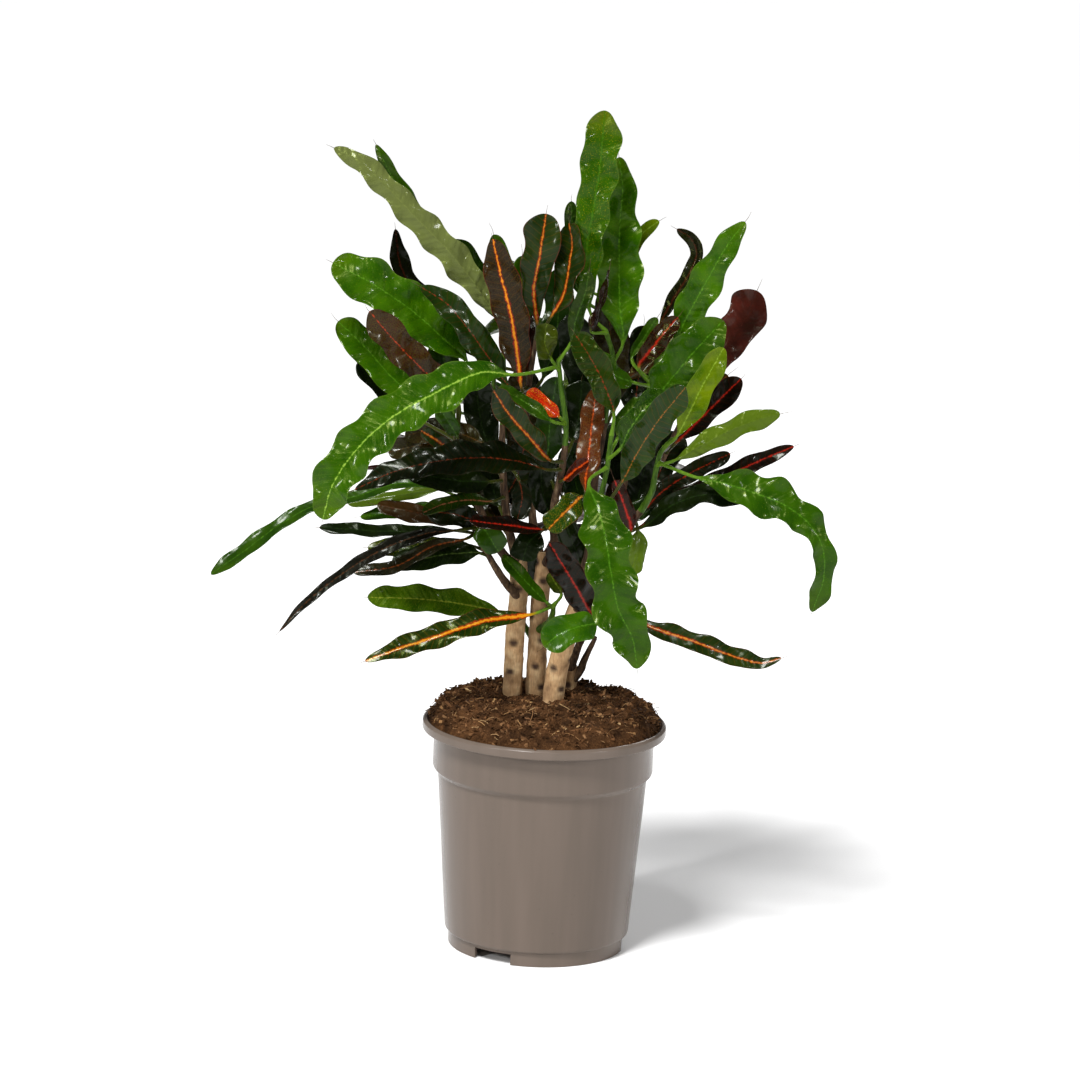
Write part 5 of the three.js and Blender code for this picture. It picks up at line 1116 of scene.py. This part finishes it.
LOOKS = {
    # the ground and how much its veins show; the core and the halo along the midrib with their half
    # widths in millimetres; the specks and their amount; the lower face
    "bright": ("#244a01", 0.06, "#477114", 0.25, "#2d5606", 0.8, "#61700a", 0.03, "#3f5613"),
    "ribbed": ("#204501", 0.06, "#7f9a3a", 0.5, "#3a6a0a", 1.0, "#61700a", 0.03, "#3f5613"),
    "spot": ("#1f4301", 0.06, "#35590c", 0.25, "#2d5606", 0.8, "#877e0d", 0.06, "#3f5613"),
    "middle": ("#1d3f01", 0.06, "#3f6813", 0.25, "#284e06", 0.8, "#4d5f08", 0.03, "#394f13"),
    "green": ("#1b3801", 0.06, "#385c12", 0.25, "#254406", 0.8, "#3d5107", 0.02, "#354713"),
    "deep": ("#0f2401", 0.1, "#2d4814", 0.3, "#162d06", 0.8, "#1e3507", 0.02, "#273512"),
    "lime": ("#425b02", 0.12, "#708726", 0.35, "#536c0c", 1.0, "#6a7814", 0.05, "#51631c"),
    "olive": ("#263304", 0.1, "#4d5a19", 0.3, "#324009", 0.8, "#3d440c", 0.05, "#404821"),
    "under": ("#2d4712", 0.07, "#60702e", 0.4, "#395117", 1.0, "#445317", 0.02, "#5a5f33"),
    "pale_under": ("#304808", 0.07, "#566c20", 0.35, "#384f10", 0.9, "#465414", 0.04, "#485c10"),
    "green_thin": ("#142802", 0.1, "#8c4a14", 0.25, "#2c3a0a", 0.7, "#1c340a", 0.04, "#2c3c18"),
    "deep_thin": ("#122402", 0.1, "#6e2410", 0.25, "#22280a", 0.7, "#1c340a", 0.04, "#2c3c18"),
    "dark": ("#081201", 0.06, "#18270a", 0.3, "#0c1804", 0.8, "#0f1c05", 0.02, "#1c2113"),
    "dark_thin": ("#070f01", 0.06, "#63250c", 0.25, "#1c0e06", 0.7, "#111b05", 0.04, "#201e13"),
    "dark_red": ("#090f02", 0.05, "#872109", 0.3, "#340c04", 0.9, "#200c04", 0.05, "#25150e"),
    "dark_flare": ("#142303", 0.06, "#a86a1c", 0.6, "#8a1a06", 1.4, "#182306", 0.05, "#2d2013"),
    "dark_orange": ("#142103", 0.06, "#b0680f", 0.8, "#791605", 1.7, "#401506", 0.05, "#2d1810"),
    "dark_flame": ("#122203", 0.08, "#b87410", 1.2, "#852206", 2.3, "#1a3007", 0.05, "#2e2c13"),
    "dark_pale": ("#0c1802", 0.12, "#4d5e2c", 0.4, "#182a0a", 1.0, "#213511", 0.1, "#212a12"),
    "dark_edge": ("#080b02", 0.05, "#2a1007", 0.3, "#3b0c05", 0.7, "#170b04", 0.05, "#20130d"),
    "slate": ("#090905", 0.05, "#402512", 0.3, "#161009", 0.7, "#15150c", 0.05, "#1c1812"),
    "brown_orange": ("#180c03", 0.06, "#c0740b", 1.0, "#7f1605", 2.0, "#2e2307", 0.2, "#2c150b"),
    "brown": ("#231203", 0.08, "#633011", 0.4, "#341908", 0.9, "#302307", 0.2, "#2d1c0a"),
    "brown_specked": ("#3b1707", 0.08, "#ae4811", 0.5, "#611e08", 1.3, "#533411", 0.22, "#351c0e"),
    "maroon": ("#170603", 0.05, "#390f07", 0.3, "#1e0804", 0.8, "#2a0c05", 0.1, "#260f09"),
    "maroon_red": ("#130502", 0.05, "#8e1308", 0.8, "#4d0904", 1.7, "#3f0b04", 0.1, "#2a0f09"),
    "maroon_orange": ("#200803", 0.05, "#a53f0b", 0.8, "#731405", 1.7, "#451606", 0.15, "#2a130b"),
    "maroon_specked": ("#270a07", 0.06, "#98350f", 0.35, "#400c06", 0.8, "#392e0a", 0.24, "#2d1509"),
    "maroon_olive": ("#170f03", 0.06, "#44300f", 0.3, "#231605", 0.9, "#272709", 0.2, "#241909"),
    "purple": ("#381711", 0.06, "#3c1812", 0.3, "#2f120c", 0.8, "#31130d", 0.05, "#301c15"),
    "black_red": ("#090502", 0.04, "#91190a", 0.7, "#4c0904", 1.5, "#2c0b04", 0.05, "#200c06"),
    "red": ("#8d1104", 0.1, "#b92a07", 0.6, "#981605", 2.0, "#b9700c", 0.16, "#5a1507"),
    "green_orange": ("#122c01", 0.1, "#aa6a13", 0.6, "#7b2c06", 1.2, "#53530a", 0.14, "#2a3411"),
    "green_yellow": ("#2f5003", 0.12, "#808a2a", 0.5, "#476310", 1.1, "#5a6b16", 0.14, "#344217"),
    "green_pink": ("#172c02", 0.12, "#865336", 0.45, "#362e12", 1.0, "#323f12", 0.1, "#343818"),
    "green_spots": ("#122702", 0.12, "#395612", 0.35, "#1b3507", 0.8, "#616116", 0.18, "#2a3b13"),
    "green_edge": ("#122e02", 0.12, "#486c1a", 0.35, "#1b3f07", 0.9, "#35530c", 0.1, "#2a4412"),
    "grey_orange": ("#161509", 0.06, "#703714", 0.4, "#371a0a", 0.9, "#252711", 0.15, "#262113"),
}


def leaf_rows(curve, start):
    """The lengths along the leaf at which its sleeve has a row, closer together towards the tip."""
    rows = []
    for i in range(LEAF_ROWS + 1):
        share = i / LEAF_ROWS
        if share < STALK_ROWS:
            rows.append(start * share / STALK_ROWS)
        else:
            ahead = (share - STALK_ROWS) / (1 - STALK_ROWS)
            reach = LAST_ROW * (1 - (1 - ahead) ** ROW_CROWDING)
            rows.append(start + (curve.length - start) * reach)
    return rows


def coarse_lengths(curve, start):
    """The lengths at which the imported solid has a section."""
    blade = curve.length - start
    count = min(9, max(3, math.floor(blade / BLADE_STEP + 0.5)))
    sections = [start + blade * (i + 0.15) / count for i in range(count)]
    return [0, start / 2] + sections + [curve.length - blade * 0.3 / count]


def dress_leaf(one, number):
    """The leaf, shaped from the sleeve, with what its material draws on, and its tip's place and way."""
    curve, start = midrib(one, one["swing"])
    blade = curve.length - start
    sections = coarse_lengths(curve, start)
    ways = np.array([across for _, across in blade_frames(one, curve, sections)])
    rows = leaf_rows(curve, start)
    points, acrosses, outs, halves, rises = [], [], [], [], []
    for length in rows:
        point, direction = curve.along(length)
        across = tuple(float(np.interp(length, sections, ways[:, k])) for k in range(3))
        across = unit(add(across, direction, -dot(across, direction)))
        share = max(0.0, (length - start) / blade)
        half = [half_width(one, share, side, blade) for side in (-1, 1)]
        points.append(point)
        acrosses.append(across)
        outs.append(cross(across, direction))
        halves.append(half)
        rises.append([edge_rise(one, share, side, blade, h) for side, h in zip((-1, 1), half)])
    row = np.rint(leaf_shares * LEAF_ROWS).astype(int)
    right = (np.cos(leaf_angles) > 0).astype(int)
    top = np.sin(leaf_angles) < 0
    length = np.array(rows)[row]
    share = np.clip((length - start) / blade, 0, 1)
    half = np.array(halves)[row, right]
    rise = np.array(rises)[row, right]
    across = 0.5 * np.cos(leaf_angles) + 0.5 * (1 - 2 * np.abs(leaf_angles) / math.pi)
    far = np.abs(across)
    x = half * across
    y = length - start
    wide, long = RUMPLE_SIZE
    rumple = np.array([noise.noise((a / wide, b / long, number * 3.7)) for a, b in zip(x, y)])
    frill = np.sin(y * 2 * math.pi / FRILL_LENGTH + right * 2 + one["phase"] * 3)
    room = np.clip(half / 8, 0, 1)
    height = rise * far ** 1.5 + RUMPLE * room * rumple * (0.3 + far) * (1 - far ** 6)
    height += FRILL * room * one["wave"] * frill * far ** 3
    thick = EDGE_HALF + BODY_HALF * (1 - far)
    form = np.exp(-(x / np.where(top, GROOVE_WIDTH, RIDGE_WIDTH)) ** 2)
    thick += np.where(top, -GROOVE, RIDGE) * form * (1 - MIDRIB_FADE * share)
    stalk = np.interp(share, [0, 0.1], [1, 0]) ** 2
    radius = np.interp(length, [0, start * 0.35, start], [STALK_FOOT, STALK_RADIUS, STALK_RADIUS])
    aside = mix(x, np.cos(leaf_angles) * radius, stalk)
    lift = mix(height + np.where(top, thick, -thick),
               -np.sin(leaf_angles) * radius * np.where(top, 0.8, 1.0), stalk)
    places = np.array(points)[row] + np.array(acrosses)[row] * aside[:, None]
    places += np.array(outs)[row] * lift[:, None]
    ground, veins, core, core_width, halo, halo_width, speck, specks, below = LOOKS[one["look"]]
    colors = {}
    for key, code, amount in (("ground", ground, veins), ("core", core, core_width / WIDEST_BAND),
                              ("halo", halo, halo_width / WIDEST_BAND), ("speck", speck, specks),
                              ("below", below, 1)):
        colors[key] = np.tile(linear(code, amount), (len(x), 1))
    colors["below"][:, 3] = top
    floats = {"along": y + 500 * number, "aside": x, "edge": far, "reach": share, "stalk": stalk}
    return shaped(leaf_sleeve, "leaf", places, floats, colors), *curve.along(curve.length)


# The blade: a glossy wax skin over leaf flesh. Side veins leave the midrib every 6 mm and slant
# forward, and the blade bulges a little between them. Along the midrib lies a core of colour with a
# halo of another, both with ragged edges, and specks of a third colour are strewn over the ground.
# It is drawn on the blade laid flat, in millimetres, so a scale is in cells to a millimetre.
RAGGED, BROAD, FINE = 0.3, 0.05, 1.1
QUILT = (0.04, 0.13, 1)  # cells to a millimetre out from the midrib and along it
VEIN_STEP = 5.8
VEIN_SLANT = -0.6
VEIN_WANDER = 2.2
VEIN_STAGGER = 2.9  # how much further along the veins of the right half stand
VEIN_HALF = 0.09  # half a vein's width, as a share of the step
BAND_RAGGED = 3.4  # how far the edges of the core and the halo wander
BAND_FOOT, BAND_TIP = 1.15 * WIDEST_BAND, 0.35 * WIDEST_BAND  # the bands narrow towards the tip
young_blade, tree, shader = new_material("waxy_young_blade", Roughness=0.24, IOR=1.45,
                                         Specular_IOR_Level=0.16, Coat_Weight=0.14, Coat_Roughness=0.1,
                                         Specular_Tint=(0.85, 1.0, 0.25, 1.0))
along, aside, edge, reach, stalk = [add_node(tree, "Attribute", out="Fac", attribute_name=key)
                                    for key in ("along", "aside", "edge", "reach", "stalk")]
tint, amount = {}, {}
for key in ("ground", "core", "halo", "speck", "below"):
    tint[key] = add_node(tree, "Attribute", out="Color", attribute_name=key)
    amount[key] = tint[key].node.outputs["Alpha"]
flat_place = add_node(tree, "CombineXYZ", {"X": aside, "Y": along})
apart = add_node(tree, "Math", {0: aside}, operation="ABSOLUTE")
ragged = add_node(tree, "TexNoise", {"Vector": flat_place, "Scale": RAGGED, "Detail": 5, "Roughness": 0.65},
                  noise_dimensions="2D")
broad = add_node(tree, "TexNoise", {"Vector": flat_place, "Scale": BROAD, "Detail": 3},
                 noise_dimensions="2D")
fine = add_node(tree, "TexNoise", {"Vector": flat_place, "Scale": FINE, "Detail": 4},
                noise_dimensions="2D")
right_side = add_node(tree, "Math", {0: aside, 1: 0.0}, operation="GREATER_THAN")
stagger = add_node(tree, "Math", {0: right_side, 1: VEIN_STAGGER, 2: along}, operation="MULTIPLY_ADD")
slanted = add_node(tree, "Math", {0: apart, 1: VEIN_SLANT, 2: stagger}, operation="MULTIPLY_ADD")
wander = add_node(tree, "Math", {0: ragged, 1: VEIN_WANDER, 2: slanted}, operation="MULTIPLY_ADD")
vein_share = add_node(tree, "Math", {0: wander, 1: VEIN_STEP}, operation="DIVIDE")
from_vein = add_node(tree, "Math", {0: vein_share, 1: 0.5}, operation="PINGPONG")
vein = add_node(tree, "MapRange", {"Value": from_vein, "From Min": 0.0, "From Max": VEIN_HALF,
                                   "To Min": 1.0, "To Max": 0.0}, interpolation_type="SMOOTHSTEP")
shown = add_node(tree, "Math", {0: vein, 1: amount["ground"]}, operation="MULTIPLY")
reds, others = [add_node(tree, "MapRange", {"Value": broad, "From Min": 0.3, "From Max": 0.7,
                                            "To Min": darker, "To Max": lighter})
                for darker, lighter in ((0.62, 1.65), (0.72, 1.3))]
tone = add_node(tree, "CombineXYZ", {"X": reds, "Y": others, "Z": others})
skin = add_node(tree, "MixRGB", {"Fac": 1.0, "Color1": tint["ground"], "Color2": tone},
                blend_type="MULTIPLY")
scatter = add_node(tree, "Math", {0: fine, 1: amount["speck"]}, operation="ADD")
specked = add_node(tree, "MapRange", {"Value": scatter, "From Min": 0.7, "From Max": 0.8})
tipped = add_node(tree, "MapRange", {"Value": reach, "From Min": 0.84, "From Max": 1.0, "To Max": 0.16},
                  interpolation_type="SMOOTHSTEP")
layers = [(tipped, "speck"), (shown, "core"), (specked, "speck")]
narrowing = add_node(tree, "MapRange", {"Value": reach, "To Min": BAND_FOOT, "To Max": BAND_TIP})
offset = add_node(tree, "Math", {0: ragged, 1: BAND_RAGGED, 2: apart}, operation="MULTIPLY_ADD")
inward = add_node(tree, "Math", {0: offset, 1: BAND_RAGGED / 2}, operation="SUBTRACT")
for key, soft in (("halo", 0.8), ("core", 0.35)):
    width = add_node(tree, "Math", {0: amount[key], 1: narrowing}, operation="MULTIPLY")
    beyond = add_node(tree, "Math", {0: inward, 1: width}, operation="SUBTRACT")
    within = add_node(tree, "MapRange", {"Value": beyond, "From Min": -soft, "From Max": soft,
                                         "To Min": 1.0, "To Max": 0.0}, interpolation_type="SMOOTHSTEP")
    layers.append((within, key))
rim = add_node(tree, "MapRange", {"Value": edge, "From Min": 0.955, "From Max": 0.995, "To Max": 0.6})
lower = add_node(tree, "MapRange", {"Value": amount["below"], "To Min": 0.75, "To Max": 0.0})
for share, key in layers + [(rim, "halo"), (lower, "below")]:
    skin = add_node(tree, "MixRGB", {"Fac": share, "Color1": skin, "Color2": tint[key]})
stalked = add_node(tree, "MixRGB", {"Fac": stalk, "Color1": skin, "Color2": linear("#4f701a")},
                   name="stalk")
tree.links.new(stalked, shader.inputs["Base Color"])
bulge = add_node(tree, "MapRange", {"Value": from_vein, "From Max": 0.5, "To Max": 0.13},
                 interpolation_type="SMOOTHSTEP")
vein_place = add_node(tree, "CombineXYZ", {"X": apart, "Y": wander})
vein_place = add_node(tree, "Mapping", {"Vector": vein_place, "Scale": QUILT})
quilt = add_node(tree, "TexNoise", {"Vector": vein_place, "Scale": 1, "Detail": 1}, noise_dimensions="2D")
quilted = add_node(tree, "Math", {0: quilt, 1: 1.5, 2: bulge}, operation="MULTIPLY_ADD")
lumpy = add_node(tree, "Math", {0: fine, 1: 0.03, 2: quilted}, operation="MULTIPLY_ADD")
bump = add_node(tree, "Bump", {"Height": lumpy, "Strength": 1.0, "Distance": 1.0 * MM}, name="bump")
tree.links.new(bump, shader.inputs["Normal"])

# An old blade has thicker wax and less relief, so that it mirrors the light in broader patches.
old_blade = young_blade.copy()
old_blade.name = "waxy_old_blade"
set_shader(old_blade, Roughness=0.28, Specular_IOR_Level=0.12, Specular_Tint=(0.9, 1.0, 0.75, 1.0))
old_blade.node_tree.nodes["bump"].inputs["Strength"].default_value = 0.55
old_blade.node_tree.nodes["stalk"].inputs["Color2"].default_value = linear("#33380f")

# The green stem: fresh skin with fine pale streaks along it, about 2 mm wide.
STEM_STREAK = 2.38
green_stem, tree, shader = new_material("fresh_green_stem", Roughness=0.42, IOR=1.45,
                                        Specular_IOR_Level=0.15)
place = add_node(tree, "TexCoord", out="Object")
drawn_out = add_node(tree, "Mapping", {"Vector": place, "Scale": (1, 1, 0.25)})
streak = add_node(tree, "TexNoise", {"Vector": drawn_out, "Scale": 1 / (STEM_STREAK * MM), "Detail": 4})
skin = add_node(tree, "ValToRGB", {"Fac": streak}, name="skin",
                stops=[(0.3, "#29430b"), (0.6, "#426016"), (0.8, "#627e2e")])
tree.links.new(skin, shader.inputs["Base Color"])
bump = add_node(tree, "Bump", {"Height": streak, "Strength": 0.4, "Distance": 0.4 * MM})
tree.links.new(bump, shader.inputs["Normal"])

# The woody stem: the same streaks in thin, dull, grey-brown bark.
woody_stem = green_stem.copy()
woody_stem.name = "thin_woody_stem"
set_shader(woody_stem, Roughness=0.8)
streaks = woody_stem.node_tree.nodes["skin"].color_ramp.elements
for element, code in zip(streaks, ("#2c211a", "#54412f", "#7d6a52")):
    element.color = linear(code)

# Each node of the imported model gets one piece: its length of stem with all the leaves on it. A leaf
# whose bristle would reach past the model's box goes without.
leaf_sleeve, leaf_angles, leaf_shares = make_sleeve(LEAF_COLUMNS, LEAF_ROWS)
stem_sleeve, stem_angles, stem_shares = make_sleeve(STEM_COLUMNS, STEM_ROWS)
hair_sleeve, hair_angles, hair_shares = make_sleeve(BRISTLE_COLUMNS, BRISTLE_ROWS)
hair_radii = np.array([mix(*BRISTLE, share) for share in hair_shares])
hair_random = draws(41)
for name, (split, axis) in SHOOTS.items():
    curve = shoot_curves[name]
    change = curve.length * split
    for suffix, old, low, high in (("mature", True, 0, change), ("young", False, change, curve.length)):
        if high <= low:
            continue
        lengths = mix(low, high, stem_shares)
        radii = np.array([mix(*STEM_RADII, length / curve.length) for length in lengths])
        knots = np.array([noise.noise((length / STEM_KNOT_LENGTH, angle, 0.5))
                          for length, angle in zip(lengths, stem_angles)])
        rounded = np.where(lengths > curve.length - 1.2, 0.7, 1.0)  # the stem's end
        radii = (radii - STEM_SLIMMER + STEM_KNOT * knots) * rounded
        stem = shaped(stem_sleeve, "stem", tube_places(curve, lengths, stem_angles, radii))
        stem_finish = woody_stem if old else green_stem
        stem.data.materials.append(stem_finish)
        parts = [stem]
        for number, one in enumerate(LEAVES):
            if one["shoot"] != name or one["old"] != old:
                continue
            made, tip, way = dress_leaf(one, number)
            made.data.materials.append(old_blade if old else young_blade)
            parts.append(made)
            reach = between(*BRISTLE_LENGTHS, hair_random)
            bend = [between(-BRISTLE_BEND, BRISTLE_BEND, hair_random) for _ in range(2)] + [0]
            middle = add(tip, way, reach / 2)
            end = add(middle, unit(add(way, bend)), reach / 2)
            end_place = AXIS + Vector(end) * MM
            if all(a < b < c for a, b, c in zip(cad_bounds[0], end_place, cad_bounds[1])):
                hair_curve = Curve([add(tip, way, -BRISTLE_ROOT), middle, end])
                hair_places = tube_places(hair_curve, hair_shares * hair_curve.length, hair_angles,
                                          hair_radii)
                hair = shaped(hair_sleeve, "bristle", hair_places)
                hair.data.materials.append(woody_stem)
                parts.append(hair)
        piece = finish(join(parts, "leafy_%s_%s" % (name, suffix)), stem_finish, angle=50)
        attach(piece, "root")
        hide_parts("shoot_%s_%s" % (name, suffix))
for one in (leaf_sleeve, stem_sleeve, hair_sleeve):
    bpy.data.objects.remove(one)

# --- the floor, the light and the end --------------------------------------------------------------
# A plain pale floor that runs past every view, a broad light overhead, small tall soft boxes to the
# left and the right, one in front, and a broad one behind that draws the edges of the leaves.

FLOOR_SIZE = 60  # metres
OVERHEAD = (math.radians(30), math.radians(-18))  # its tilts to the back and to the right
OVERHEAD_POWER = 3.8
OVERHEAD_SPREAD = math.radians(15)
WORLD_LIGHT = 0.14
BOX_AIM = Vector((0, 0, 0.4))
SOFT_BOXES = [  # name, where it stands, its width and height in metres, and its power in watts
    ("soft_box_left", (-1.9, -1.9, 1.2), (0.15, 0.36), 26),
    ("soft_box_right", (2.0, -1.4, 1.1), (0.12, 0.32), 17),
    ("soft_box_front", (0.5, -3.0, 2.2), (0.17, 0.17), 12),
    ("soft_box_behind", (0.6, 2.0, 1.7), (0.9, 0.6), 18),
]
PAPER_TOOTH = 1.43

deselect()
bpy.ops.mesh.primitive_plane_add(size=FLOOR_SIZE, location=(0, 0, 0))
floor = bpy.context.object
floor.name = "floor"
paper, tree, shader = new_material("matt_white_paper", Roughness=0.85)
place = add_node(tree, "TexCoord", out="Object")
tooth = add_node(tree, "TexNoise", {"Vector": place, "Scale": 1 / (PAPER_TOOTH * MM), "Detail": 3})
white = add_node(tree, "ValToRGB", {"Fac": tooth}, stops=[(0.3, "#f4f4f4"), (0.7, "#f9f9f9")])
tree.links.new(white, shader.inputs["Base Color"])
floor.data.materials.append(paper)

bpy.context.scene.view_settings.view_transform = "Standard"
world = bpy.data.worlds.new("dim_studio")
bpy.context.scene.world = world
world.use_nodes = True
world.node_tree.nodes["Background"].inputs["Color"].default_value = (1, 1, 1, 1)
world.node_tree.nodes["Background"].inputs["Strength"].default_value = WORLD_LIGHT

bpy.ops.object.light_add(type="SUN", rotation=(*OVERHEAD, 0))
overhead = bpy.context.object
overhead.name = "overhead_light"
overhead.data.energy = OVERHEAD_POWER
overhead.data.angle = OVERHEAD_SPREAD
for name, place, (width, height), power in SOFT_BOXES:
    way = BOX_AIM - Vector(place)
    bpy.ops.object.light_add(type="AREA", location=place, rotation=way.to_track_quat("-Z", "Y").to_euler())
    lamp = bpy.context.object
    lamp.name = name
    lamp.data.shape = "RECTANGLE"
    lamp.data.size = width
    lamp.data.size_y = height
    lamp.data.energy = power
